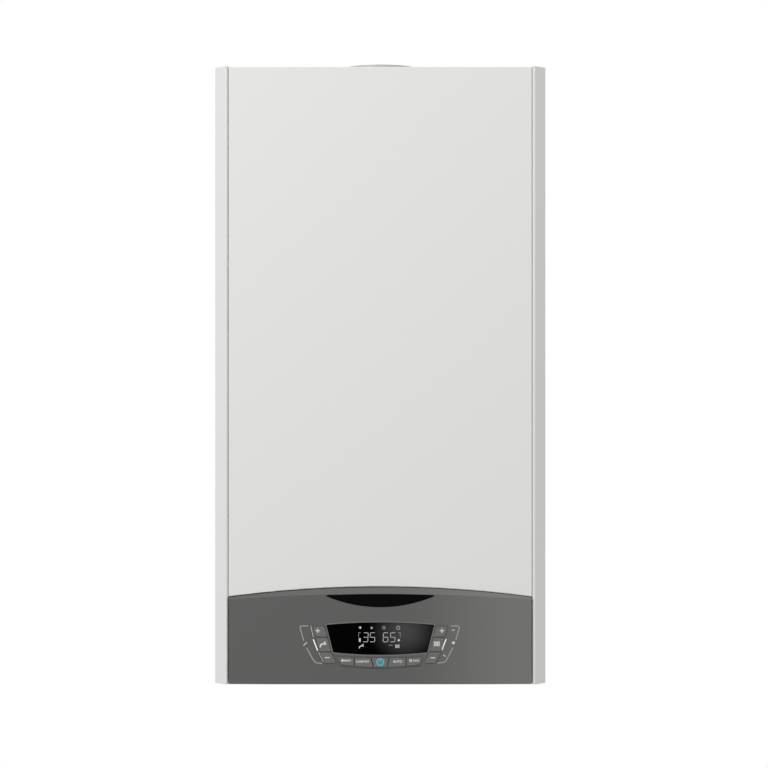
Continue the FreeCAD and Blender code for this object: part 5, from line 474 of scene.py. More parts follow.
def rounded_block(form, low, high, bevel):
    """A block between two corners in millimetres, with all its edges rounded."""
    low, high = Vector(low) * MM, Vector(high) * MM
    place = Matrix.Translation((low + high) / 2) @ Matrix.Diagonal((*(high - low), 1.0))
    corners = bmesh.ops.create_cube(form, size=1.0, matrix=place)["verts"]
    edges = list(dict.fromkeys(e for v in corners for e in v.link_edges))
    bmesh.ops.bevel(form, geom=edges, offset=bevel * MM, segments=3, profile=0.5, affect="EDGES")


def hexagon_share(turn):
    """Reach of a hexagon in one direction, as a share of the reach of its corners."""
    return math.cos(math.pi / 6) / math.cos(turn % (math.pi / 3) - math.pi / 6)


def turned_head(form, place, profile, socket=0):
    """A turned shape that faces forward: the profile holds pairs of radius and height, in millimetres.
    The last socket rings are hexagons, with that radius to their corners."""
    turns = [math.tau * k / HEAD_SIDES for k in range(HEAD_SIDES)]
    rings = []
    for i, (radius, rise) in enumerate(profile):
        hexagon = i >= len(profile) - socket
        ring = []
        for turn in turns:
            reach = radius * hexagon_share(turn) if hexagon else radius
            corner = (place[0] + reach * math.cos(turn), place[1] - rise, place[2] + reach * math.sin(turn))
            ring.append([c * MM for c in corner])
        rings.append(ring)
    rings_mesh(form, rings, False)
    form.verts.ensure_lookup_table()
    form.faces.new(form.verts[-HEAD_SIDES:])
    base = len(form.verts) - HEAD_SIDES * len(profile)
    form.faces.new(form.verts[base:base + HEAD_SIDES][::-1])


def socket_screw(form, place, radius):
    """A cylinder-head screw with a hexagon socket."""
    shares = [(1.0, 0), (1.0, 0.75), (0.9, 0.9), (0.6, 0.9), (0.6, 0.35)]
    turned_head(form, place, [(radius * reach, radius * rise) for reach, rise in shares], socket=2)


def add_lead(name, points, thickness, finish_name):
    """A round lead along points in millimetres."""
    curve = bpy.data.curves.new(name, "CURVE")
    curve.dimensions = "3D"
    curve.bevel_depth = thickness / 2
    curve.bevel_resolution = 4
    curve.resolution_u = 12
    curve.use_fill_caps = True
    line = curve.splines.new("NURBS")
    line.points.add(len(points) - 1)
    for spot, point in zip(line.points, points):
        spot.co = [c * MM for c in point] + [1.0]
    line.order_u = 4
    line.use_endpoint_u = True
    mesh = curve_mesh(name, curve)
    mesh.shade_smooth()
    new_piece(name, mesh, finish_name, "boiler")


# Icons, drawn about 2 units wide round zero

def icon_plus():
    return [stroke([(-1, 0), (1, 0)], 0.42), stroke([(0, -1), (0, 1)], 0.42)]


def icon_minus():
    return [stroke([(-1, 0), (1, 0)], 0.42)]


def icon_tap():
    spout = stroke([(-1.05, -0.8), (-0.95, -0.2), (-0.5, 0.2), (0.3, 0.3)], 0.5)
    body = [(0.2, -0.1), (1.1, -0.1), (1.1, 0.6), (0.2, 0.6)]
    stem = stroke([(0.65, 0.6), (0.65, 0.85)], 0.28)
    handle = stroke([(0.3, 0.95), (1.0, 0.95)], 0.28)
    return [spout, body, stem, handle]


def icon_radiator():
    bars = [stroke([(x, -0.8), (x, 0.8)], 0.34) for x in (-0.9, -0.3, 0.3, 0.9)]
    return bars + [stroke([(-1.1, z), (1.1, z)], 0.2) for z in (0.5, -0.5)]


def icon_flame():
    return [[(0, -1), (0.55, -0.8), (0.75, -0.25), (0.5, 0.3), (0.25, 0.1), (0.1, 1.0), (-0.45, 0.35),
             (-0.75, -0.25), (-0.55, -0.8)]]


def icon_star():
    reaches = [1.0, 0.55] * 4
    turns = [math.tau * k / len(reaches) for k in range(len(reaches))]
    return [[(r * math.cos(t), r * math.sin(t)) for r, t in zip(reaches, turns)]]


def icon_shield():
    return [[(-0.85, 0.7), (0.85, 0.7), (0.75, 0.0), (0, -0.9), (-0.75, 0.0)]]


def icon_dot():
    return [arc((0, 0), 1.0, 0, 345, 23)]


def icon_list():
    return [stroke([(-0.8, z), (0.8, z)], 0.4) for z in (-0.7, 0.0, 0.7)]


def icon_house():
    roof = stroke([(-1, 0.05), (0, 0.95), (1, 0.05)], 0.26)
    walls = stroke([(-0.7, 0.1), (-0.7, -0.8), (0.7, -0.8), (0.7, 0.1)], 0.26)
    return [roof, walls]


def icon_clock():
    return [stroke(arc((0, 0), 0.9, 90, 445, 20), 0.24), stroke([(0, 0.5), (0, 0), (0.4, -0.2)], 0.24)]


def icon_slash(rise):
    return [stroke([(-0.85, -rise), (0.85, rise)], 0.5)]


def icon_power():
    return [stroke(arc((0, 0), 0.9, 112, 428, 24), 0.42), stroke([(0, 0.15), (0, 1.0)], 0.34)]


SEGMENTS = {"3": "abcdg", "5": "acdfg", "6": "acdefg"}
BAR_WIDTH = 0.6
BAR_TRIM = 0.55  # how far a bar stops short of the corner


def digit(figure, left, low, width, height, slant):
    """A seven-bar figure leaning to the right."""
    mid = height / 2
    ends = {
        "a": ((0, height), (width, height)),
        "b": ((width, height), (width, mid)),
        "c": ((width, mid), (width, 0)),
        "d": ((0, 0), (width, 0)),
        "e": ((0, 0), (0, mid)),
        "f": ((0, mid), (0, height)),
        "g": ((0, mid), (width, mid)),
    }
    bars = []
    for name in SEGMENTS[figure]:
        start, end = [Vector((left + x + z * slant, low + z)) for x, z in ends[name]]
        trim = (end - start).normalized() * BAR_TRIM
        bars.append(stroke([start + trim, end - trim], BAR_WIDTH))
    return bars


# Settings

class BoilerColourSettings(bpy.types.PropertyGroup):
    case: bpy.props.StringProperty(
        name="Case", description="sRGB hex colour of the case's enamel", default="#E2E2E0")
    fascia: bpy.props.StringProperty(
        name="Fascia", description="sRGB hex colour of the fascia's left end", default="#50514F")
    keys: bpy.props.StringProperty(
        name="Keys", description="sRGB hex colour of the keys", default="#626361")
    power_lamp: bpy.props.StringProperty(
        name="Power lamp", description="sRGB hex colour of the power key's ring", default="#5A99A8")
    vessel: bpy.props.StringProperty(
        name="Vessel", description="sRGB hex colour of the expansion vessel", default="#B3241E")


class BoilerMarkSettings(bpy.types.PropertyGroup):
    lift: bpy.props.FloatProperty(
        name="Lift", description="How far print stands ahead of its surface",
        default=0.00003, min=0.0, subtype="DISTANCE", unit="LENGTH")
    depth: bpy.props.FloatProperty(
        name="Depth", description="Thickness of the print, mostly sunk",
        default=0.00008, min=0.0, subtype="DISTANCE", unit="LENGTH")
    line: bpy.props.FloatProperty(
        name="Line", description="Width of the printed brackets' lines",
        default=0.00125, min=0.0001, subtype="DISTANCE", unit="LENGTH")


class BoilerThreadSettings(bpy.types.PropertyGroup):
    pitch: bpy.props.FloatProperty(
        name="Pitch", description="Rise of one turn of the pipe thread",
        default=0.001814, min=0.0005, subtype="DISTANCE", unit="LENGTH")
    depth: bpy.props.FloatProperty(
        name="Depth", description="Depth of the pipe thread",
        default=0.00116, min=0.0, subtype="DISTANCE", unit="LENGTH")


class BoilerLeadSettings(bpy.types.PropertyGroup):
    lead: bpy.props.FloatProperty(
        name="Ignition lead", description="Thickness of an ignition lead",
        default=0.0044, min=0.001, subtype="DISTANCE", unit="LENGTH")
    boot: bpy.props.FloatProperty(
        name="Ignition boot", description="Thickness of the boot on an electrode",
        default=0.0112, min=0.001, subtype="DISTANCE", unit="LENGTH")
    cable: bpy.props.FloatProperty(
        name="Motor cable", description="Thickness of a motor's cable",
        default=0.006, min=0.001, subtype="DISTANCE", unit="LENGTH")


class BoilerStageSettings(bpy.types.PropertyGroup):
    camera_distance: bpy.props.FloatProperty(
        name="Camera distance", description="From the case's front ridge",
        default=2.8, min=0.5, subtype="DISTANCE", unit="LENGTH")
    field: bpy.props.FloatProperty(
        name="Field", description="Width seen at the case's front ridge",
        default=0.925, min=0.1, subtype="DISTANCE", unit="LENGTH")
    floor_drop: bpy.props.FloatProperty(
        name="Floor drop", description="Floor below the case",
        default=3.2, min=0.0, subtype="DISTANCE", unit="LENGTH")
    fill: bpy.props.FloatProperty(
        name="Fill", description="Level of the even light from all round", default=0.61, min=0.0)
    key_power: bpy.props.FloatProperty(
        name="Key lamp", description="Power of the lamp at the left", default=48.0, min=0.0, unit="POWER")
    top_power: bpy.props.FloatProperty(
        name="Top lamp", description="Power of the lamp overhead", default=15.0, min=0.0, unit="POWER")


# Pieces. Places on the panel are in millimetres: x from the middle, and height above the case's lower edge.

class BOILER_OT_finishes(bpy.types.Operator):
    """Give every part of the boiler its finish"""
    bl_idname = "boiler.finishes"
    bl_label = "Finishes"

    def execute(self, context):
        left = set(frame["nodes"])
        for name, nodes in NODE_FINISHES.items():
            for node in nodes:
                mesh = frame["nodes"][node].data
                mesh.materials.clear()
                mesh.materials.append(finish(name))
                left.discard(node)
        if left:
            raise RuntimeError(f"no finish for {sorted(left)}")
        return {"FINISHED"}


class BOILER_OT_fascia_print(bpy.types.Operator):
    """Print the two brackets and their small signs on the fascia"""
    bl_idname = "boiler.fascia_print"
    bl_label = "Fascia print"

    BRACKET_LINES = (
        [(-87.0, 71.0), (-95.2, 71.0), (-96.4, 69.5), (-96.2, 67.5), (-92.2, 53.6)],
        [(-88.6, 44.3), (-80.5, 29.9), (-78.8, 27.8), (-76.7, 26.6), (-70.6, 25.9)],
        [(85.9, 70.9), (93.6, 70.9), (95.0, 69.4), (94.9, 67.7), (90.9, 54.4)],
        [(87.1, 44.4), (79.8, 30.3), (77.9, 28.1), (75.5, 27.0), (69.2, 26.3)],
    )
    SIGNS = (
        (icon_slash(0.8), (-90.2, 49.4), 2.1),
        (icon_minus(), (87.8, 65.9), 1.7),
        (icon_shield(), (88.0, 50.3), 2.2),
        (icon_slash(-0.7), (77.2, 35.2), 1.5),
    )

    def execute(self, context):
        width = context.scene.boiler_marks.line / MM
        lines = [stroke(points, width) for points in self.BRACKET_LINES]
        add_print("fascia_brackets", lines, "print_grey")
        add_print("fascia_signs", drawn(self.SIGNS), "print_white")
        return {"FINISHED"}


class BOILER_OT_key_row_shade(bpy.types.Operator):
    """Paint the shade under the row of keys as a dark stroke"""
    bl_idname = "boiler.key_row_shade"
    bl_label = "Key row shade"

    END_INSET = 2.2  # from the row's end to the end of the shade
    END_HEIGHT = 23.1
    SAG = 3.0
    WIDTH = 0.8
    STEPS = 16

    def execute(self, context):
        half_width = -node_box("key_menu")[0].x - self.END_INSET
        under = bowed_line(half_width, self.END_HEIGHT, -self.SAG, self.STEPS)
        add_print("key_row_shade", [stroke(under, self.WIDTH)], "slot_shade")
        return {"FINISHED"}


class BOILER_OT_key_signs(bpy.types.Operator):
    """Print the signs on the keys"""
    bl_idname = "boiler.key_signs"
    bl_label = "Key signs"

    SIGNS = {
        "key_left_plus": (icon_plus(), (-75.1, 65.3), 2.4),
        "key_left_mode": (icon_tap(), (-68.8, 48.6), 3.2),
        "key_left_minus": (icon_minus(), (-63.7, 33.0), 2.5),
        "key_right_plus": (icon_plus(), (74.1, 65.3), 2.4),
        "key_right_mode": (icon_radiator(), (68.0, 49.6), 3.1),
        "key_right_minus": (icon_minus(), (63.2, 32.7), 2.5),
        "key_menu": (icon_dot(), (-45.4, 29.6), 1.4),
        "key_info": (icon_list(), (36.6, 29.4), 1.7),
    }

    def execute(self, context):
        for key, sign in self.SIGNS.items():
            add_print(f"{key}_sign", drawn([sign]), "print_white", KEY_PROUD, f"{key}_body")
        return {"FINISHED"}


class BOILER_OT_power_lamp(bpy.types.Operator):
    """Light the ring and the lens of the power key"""
    bl_idname = "boiler.power_lamp"
    bl_label = "Power lamp"

    CENTRE = (0, 27.7)
    LENS_SCALE = 4.0
    RING_SCALE = 4.4

    def execute(self, context):
        lens = drawn([(icon_dot(), self.CENTRE, self.LENS_SCALE)])
        ring = drawn([(icon_power(), self.CENTRE, self.RING_SCALE)])
        # the lens lies between the top of the key and the face of the ring
        lens_ahead = KEY_PROUD - context.scene.boiler_marks.lift / 2
        for part, outlines, ahead in (("lens", lens, lens_ahead), ("ring", ring, KEY_PROUD)):
            add_print(f"key_power_{part}", outlines, f"lamp_blue_{part}", ahead,
                      "key_power_body")
        return {"FINISHED"}


class BOILER_OT_key_words(bpy.types.Operator):
    """Print the words on the keys"""
    bl_idname = "boiler.key_words"
    bl_label = "Key words"

    # word, centre and size on each key
    WORDS = {
        "key_menu": ("MENU", (-39.4, 29.4), 3.1),
        "key_comfort": ("COMFORT", (-21.3, 28.2), 3.4),
        "key_auto": ("AUTO", (20.9, 28.2), 3.9),
        "key_info": ("INFO", (43.0, 29.3), 3.3),
    }

    def execute(self, context):
        marks = context.scene.boiler_marks
        for key, (word, place, size) in self.WORDS.items():
            mesh = word_mesh(f"{key}_word", word, place, size, KEY_PROUD + marks.lift, marks.depth)
            new_piece(f"{key}_word", mesh, "print_white", f"{key}_body")
        return {"FINISHED"}


class BOILER_OT_display(bpy.types.Operator):
    """Show the two temperatures and the small symbols on the glass"""
    bl_idname = "boiler.display"
    bl_label = "Display"

    # each figure with its left edge, and what the four have in common
    FIGURES = (("3", -20.7), ("5", -12.5), ("6", 3.4), ("5", 11.9))
    FIGURE_FORM = dict(low=51.9, width=5.6, height=10.9, slant=0.06)
    SYMBOLS = (
        (icon_flame(), (-10.4, 69.0), 1.8),
        (icon_clock(), (4.4, 68.9), 1.9),
        (icon_house(), (21.6, 69.0), 2.4),
    )
    # points and width of the thin lines round the figures
    LINES = (
        (arc((12.4, 43.9), 4.2, 60, 120, 8), 0.5),
        ([(-26.0, 57.6), (-26.0, 63.0), (-23.8, 63.0)], 0.4),
        ([(21.8, 63.0), (24.0, 63.0), (24.0, 57.6)], 0.4),
    )
    STATES = (
        (icon_tap(), (-22.6, 46.4), 2.4),
        (icon_radiator(), (20.6, 46.6), 2.2),
        (icon_star(), (-24.1, 69.0), 1.9),
        (icon_dot(), (22.3, 53.8), 1.4),
    )
    STATE_BLOCK = [(-25.7, 51.8), (-23.5, 51.8), (-23.5, 56.3), (-25.7, 56.3)]

    def execute(self, context):
        figures = []
        for figure, left in self.FIGURES:
            figures += digit(figure, left, **self.FIGURE_FORM)
        symbols = drawn(self.SYMBOLS) + [stroke(points, width) for points, width in self.LINES]
        states = drawn(self.STATES) + [self.STATE_BLOCK]
        add_print("display_figures", figures, "symbol_lit", -GLASS_SUNK)
        add_print("display_symbols", symbols, "symbol_dim", -GLASS_SUNK)
        add_print("display_states", states, "symbol_lit", -GLASS_SUNK)
        return {"FINISHED"}


class BOILER_OT_display_rim(bpy.types.Operator):
    """Frame the display with a narrow rim"""
    bl_idname = "boiler.display_rim"
    bl_label = "Display rim"

    TOP_RISE = 3.1  # rise of the window's upper edge in its middle
    LOW_SAG = 3.0  # sag of its lower edge
    LOW_HALF_WIDTH = 56.4  # half the length of its lower edge
    STEPS = 24
    INNER_GAP = 0.3  # from the window to the rim's inner edge
    OUTER_GAP = 1.2  # from the window to its outer edge

    def execute(self, context):
        face = context.scene.boiler_marks.lift
        outer, inner = self.outline(self.OUTER_GAP), self.outline(self.INNER_GAP)
        rings = []
        for outline, ahead in ((outer, face), (inner, face), (inner, -GLASS_SUNK), (outer, -GLASS_SUNK)):
            rings.append([(x * MM, bow(x * MM, ahead), CASE_BOTTOM + z * MM) for x, z in outline])
        form = bmesh.new()
        rings_mesh(form, rings, True)
        smooth_piece("display_rim", form, CRISP_FLAT, "plastic_rim_grey", "control_panel")
        return {"FINISHED"}

    def outline(self, grow):
        """Points round the display window, moved outwards."""
        low, high = node_box("display_window")
        top = high.z - CASE_BOTTOM / MM - self.TOP_RISE + grow
        foot = low.z - CASE_BOTTOM / MM + self.LOW_SAG - grow
        upper = bowed_line(high.x + grow, top, self.TOP_RISE, self.STEPS)
        lower = bowed_line(self.LOW_HALF_WIDTH + grow, foot, -self.LOW_SAG, self.STEPS)
        return upper + lower[::-1]


class BOILER_OT_light_guides(bpy.types.Operator):
    """Set the slanted light guides beside the side keys, with dark strokes of painted shade in their slots
    """
    bl_idname = "boiler.light_guides"
    bl_label = "Light guides"

    # upper end, lower end and width of each
    LIT = (((-80.4, 54.2), (-75.6, 41.9), 1.4), ((79.0, 54.6), (74.4, 42.4), 1.4))
    UNLIT = (((-83.6, 70.5), (-80.7, 58.2), 1.1), ((-74.2, 39.0), (-68.6, 28.0), 1.0))
    # dark strokes of painted shade in the slots beside the guides
    SLOT_SHADES = (((-84.9, 70.5), (-82.0, 58.2), 0.7), ((-81.9, 54.2), (-77.1, 41.9), 0.5),
             ((-75.4, 39.0), (-69.8, 28.0), 0.7), ((80.5, 54.6), (75.9, 42.4), 0.5))

    def execute(self, context):
        lit, unlit, slot_shades = [[stroke([upper, lower], width) for upper, lower, width in group]
                             for group in (self.LIT, self.UNLIT, self.SLOT_SHADES)]
        add_print("light_guides_lit", lit, "guide_lit")
        add_print("light_guides", unlit, "guide_unlit")
        add_print("light_guide_slot_shade", slot_shades, "slot_shade")
        return {"FINISHED"}


class BOILER_OT_pipe_stubs(bpy.types.Operator):
    """Cut real threads on the five pipe stubs"""
    bl_idname = "boiler.pipe_stubs"
    bl_label = "Pipe stubs"

    WALL = 0.003
    NUT_GROWTH = 0.007  # width across a nut's flats beyond its pipe
    NUT_HEIGHT = 0.010
    NUT_BEVEL = 0.0014
    THREAD_GAP = 0.0002  # from the thread to the nut

    def execute(self, context):
        settings = context.scene.boiler_threads
        stubs = [mount for mount in frame["record"]["mounts"] if mount["name"].endswith("_stub")]
        if not stubs:
            raise RuntimeError("the record holds no pipe stubs")
        low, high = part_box("pipe_stubs")
        form = bmesh.new()
        for stub in stubs:
            x, y, z = stub["pos_m"]
            radius = stub["dims"]["r_mm"] * MM
            nut_low = z + stub["dims"]["length_mm"] * MM / 2
            bore = radius - self.WALL
            across = 2 * radius + self.NUT_GROWTH
            threaded_stub(form, (x, y), radius, bore, low.z, high.z, nut_low - self.THREAD_GAP, settings)
            hexagon_nut(form, (x, y), across, nut_low, nut_low + self.NUT_HEIGHT, self.NUT_BEVEL)
        piece = smooth_piece("threaded_stubs", form, CRISP_TURNED, "brass_machined")
        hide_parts("pipe_stubs")
        return {"FINISHED"}


class BOILER_OT_ignition_leads(bpy.types.Operator):
    """Run the two ignition leads from the electrodes to the gas valve"""
    bl_idname = "boiler.ignition_leads"
    bl_label = "Ignition leads"

    # points of each boot over the end of its electrode, in millimetres
    BOOTS = {
        "left": [(-29.8, -294, -197.6), (-29.8, -305.5, -197.6), (-29.8, -306.5, -205.6)],
        "right": [(0, -294, -207.0), (0, -305.5, -207.0), (0, -306.5, -215.0)],
    }
    # points of each lead after its boot
    ROUTES = {
        "left": [(-32, -303, -219), (-42, -296, -256), (-44, -286, -310), (-20, -284, -360),
                 (-8, -283, -395), (4, -283, -414)],
        "right": [(-1, -303, -229), (-10, -296, -264), (-12, -288, -310), (4, -285, -355),
                  (24, -284, -390), (32, -283, -414)],
    }

    def execute(self, context):
        settings = context.scene.boiler_leads
        for side, boot in self.BOOTS.items():
            lead = self.ROUTES[side]
            add_lead(f"ignition_boot_{side}", boot + lead[:1], settings.boot, "rubber_black")
            add_lead(f"ignition_lead_{side}", boot[-1:] + lead, settings.lead, "silicone_red")
        return {"FINISHED"}


class BOILER_OT_motor_cables(bpy.types.Operator):
    """Run the cables of fan and pump to their grommets on the bottom plate"""
    bl_idname = "boiler.motor_cables"
    bl_label = "Motor cables"

    # points of each cable, in millimetres
    ROUTES = {
        "fan_cable": [(136, -262, -362), (140, -270, -384), (152, -266, -412), (150, -256, -446),
                      (136, -246, -490), (118, -238, -540), (112, -226, -580), (110, -215, -604),
                      (110, -215, -619)],
        "pump_cable": [(116, -212, -430), (100, -214, -431), (90, -232, -446), (88, -244, -476),
                       (94, -242, -520), (102, -232, -560), (101, -220, -590), (100, -215, -604),
                       (100, -215, -619)],
    }
    END_SUNK = 0.5  # from a cable's end up to the foot of its grommet
    # radius and height of each ring of a grommet, the first just inside the cable's skin
    GROMMET = ((2.9, 0.0), (2.9, 2.8), (3.5, 3.5), (4.2, 3.2), (4.8, 1.6), (4.9, 0.0))
    GROMMET_SIDES = 32

    def execute(self, context):
        thickness = context.scene.boiler_leads.cable
        form = bmesh.new()
        for name, route in self.ROUTES.items():
            add_lead(name, route, thickness, "rubber_black")
            x, y, z = [c * MM for c in route[-1]]
            foot = z + self.END_SUNK * MM
            rings_mesh(form, [level_ring((x, y), reach * MM, foot + rise * MM, self.GROMMET_SIDES)
                              for reach, rise in self.GROMMET], True)
        smooth_piece("cable_grommets", form, CRISP_MOULDED, "rubber_black")
        return {"FINISHED"}


class BOILER_OT_coil_caps(bpy.types.Operator):
    """Cap the two coils of the gas valve"""
    bl_idname = "boiler.coil_caps"
    bl_label = "Coil caps"

    COIL_WIDTH = 30.0
    COIL_HEIGHT = 33.7
    COIL_GAP = 6.0  # between the two coils
    SIDE_WALL = 0.7
    FRONT_WALL = 0.65
    LENGTH = 18.7  # from a cap's front to its rim
    EDGE = 2.4
    RIBS = 5
    RIB_INSET = 5.0  # from the side of a coil to the end of a rib
    RIB_FIRST = -12.35  # foot of the lowest rib, from the middle of the coil
    RIB_PITCH = 6.2
    RIB_HEIGHT = 2.0
    RIB_PROUD = 0.7  # a rib stands ahead of the cap by this and is sunk by as much
    RIB_EDGE = 0.5

    def execute(self, context):
        low, high = node_box("gas_valve")
        middle = (low + high) / 2
        front = low.y - self.FRONT_WALL
        reach = self.COIL_HEIGHT / 2 + self.SIDE_WALL
        form = bmesh.new()
        for left in (middle.x - self.COIL_GAP / 2 - self.COIL_WIDTH, middle.x + self.COIL_GAP / 2):
            right = left + self.COIL_WIDTH
            near = (left - self.SIDE_WALL, front, middle.z - reach)
            far = (right + self.SIDE_WALL, front + self.LENGTH, middle.z + reach)
            rounded_block(form, near, far, self.EDGE)
            for k in range(self.RIBS):
                foot = middle.z + self.RIB_FIRST + self.RIB_PITCH * k
                near = (left + self.RIB_INSET, front - self.RIB_PROUD, foot)
                far = (right - self.RIB_INSET, front + self.RIB_PROUD, foot + self.RIB_HEIGHT)
                rounded_block(form, near, far, self.RIB_EDGE)
        smooth_piece("coil_caps", form, CRISP_MOULDED, "plastic_black_moulded")
        return {"FINISHED"}


COVER_PROUD = 1.4  # face of the diverter's cover ahead of its motor


class BOILER_OT_fitting_screws(bpy.types.Operator):
    """Fit the screws of the gas valve and of the diverter's cover"""
    bl_idname = "boiler.fitting_screws"
    bl_label = "Fitting screws"

    VALVE_FACE = 20.0  # from the front of the coils back to the face of the valve
    VALVE_REACH_X = 30.2  # from the middle of the valve to its screws
    VALVE_REACH_Z = 24.25
    VALVE_HEAD = 3.2  # radius of a screw's head
    COVER_REACH_X = 10.0  # from the middle of the cover to its screws
    COVER_DROP = 8.0  # from the top of the motor down to its screws
    COVER_HEAD = 2.2

    def execute(self, context):
        form = bmesh.new()
        low, high = node_box("gas_valve")
        middle = (low + high) / 2
        for x in (middle.x - self.VALVE_REACH_X, middle.x + self.VALVE_REACH_X):
            for z in (middle.z - self.VALVE_REACH_Z, middle.z + self.VALVE_REACH_Z):
                socket_screw(form, (x, low.y + self.VALVE_FACE, z), self.VALVE_HEAD)
        low, high = node_box("diverter_motor")
        middle = (low + high) / 2
        for x in (middle.x - self.COVER_REACH_X, middle.x + self.COVER_REACH_X):
            socket_screw(form, (x, low.y - COVER_PROUD, high.z - self.COVER_DROP), self.COVER_HEAD)
        smooth_piece("fitting_screws", form, CRISP_TURNED, "zinc_plated")
        return {"FINISHED"}


class BOILER_OT_pump_plug(bpy.types.Operator):
    """Fit the plug in the face of the pump's motor"""
    bl_idname = "boiler.pump_plug"
    bl_label = "Pump plug"

    # radius and height of each step
    PROFILE = ((11.0, 0), (11.0, 1.6), (10.2, 2.4), (8.6, 2.4), (8.2, 1.4), (6.4, 1.4), (6.2, 3.2),
               (5.4, 4.0))
    BAR_HALF_WIDTH = 0.8  # the bar across the plug's face
    BAR_HALF_HEIGHT = 4.3
    BAR_FRONT = 4.3  # its front and back ahead of the motor
    BAR_BACK = 3.4
    BAR_EDGE = 0.3

    def execute(self, context):
        low, high = node_box("pump_motor")
        # the motor is round, and its lowest point is half its width below the shaft
        half_width = (high.x - low.x) / 2
        x, z = low.x + half_width, low.z + half_width
        form = bmesh.new()
        turned_head(form, (x, low.y, z), self.PROFILE)
        near = (x - self.BAR_HALF_WIDTH, low.y - self.BAR_FRONT, z - self.BAR_HALF_HEIGHT)
        far = (x + self.BAR_HALF_WIDTH, low.y - self.BAR_BACK, z + self.BAR_HALF_HEIGHT)
        rounded_block(form, near, far, self.BAR_EDGE)
        smooth_piece("pump_plug", form, CRISP_TURNED, "brass_machined")
        return {"FINISHED"}


class BOILER_OT_diverter_cover(bpy.types.Operator):
    """Fit the ribbed cover of the diverter's motor"""
    bl_idname = "boiler.diverter_cover"
    bl_label = "Diverter cover"

    SIDE_INSET = 4.5
    LOW_INSET = 16.0
    TOP_INSET = 3.5
    SUNK = 0.5  # depth of the cover in the motor
    EDGE = 0.8
    RIBS = 4
    RIB_INSET = 9.0  # from the side of the motor to the end of a rib
    RIB_FIRST = 22.0  # foot of the lowest rib above the motor's foot
    RIB_PITCH = 6.0
    RIB_HEIGHT = 2.0
    RIB_PROUD = 0.8
    RIB_SUNK = 0.4
    RIB_EDGE = 0.5

    def execute(self, context):
        low, high = node_box("diverter_motor")
        front = low.y - COVER_PROUD
        form = bmesh.new()
        near = (low.x + self.SIDE_INSET, front, low.z + self.LOW_INSET)
        far = (high.x - self.SIDE_INSET, low.y + self.SUNK, high.z - self.TOP_INSET)
        rounded_block(form, near, far, self.EDGE)
        for k in range(self.RIBS):
            foot = low.z + self.RIB_FIRST + self.RIB_PITCH * k
            near = (low.x + self.RIB_INSET, front - self.RIB_PROUD, foot)
            far = (high.x - self.RIB_INSET, front + self.RIB_SUNK, foot + self.RIB_HEIGHT)
            rounded_block(form, near, far, self.RIB_EDGE)
        smooth_piece("diverter_cover", form, CRISP_MOULDED, "plastic_grey_moulded")
        return {"FINISHED"}


class BOILER_OT_control_box_ribs(bpy.types.Operator):
    """Stiffen the back of the control box with ribs"""
    bl_idname = "boiler.control_box_ribs"
    bl_label = "Control box ribs"

    RIBS = 19
    END_INSET = 16.0  # from the side of the box to the first rib
    HALF_WIDTH = 1.2
    FOOT = 7.0  # foot and top of a rib above the lower edge of the box
    TOP = 41.0
    SUNK = 0.5
    PROUD = 0.7
    EDGE = 0.4

    def execute(self, context):
        low, high = node_box("control_box")
        pitch = (high.x - low.x - 2 * self.END_INSET) / (self.RIBS - 1)
        form = bmesh.new()
        for k in range(self.RIBS):
            x = low.x + self.END_INSET + pitch * k
            near = (x - self.HALF_WIDTH, high.y - self.SUNK, low.z + self.FOOT)
            far = (x + self.HALF_WIDTH, high.y + self.PROUD, low.z + self.TOP)
            rounded_block(form, near, far, self.EDGE)
        smooth_piece("control_box_ribs", form, CRISP_MOULDED, "plastic_black_moulded",
                     "control_panel")
        return {"FINISHED"}


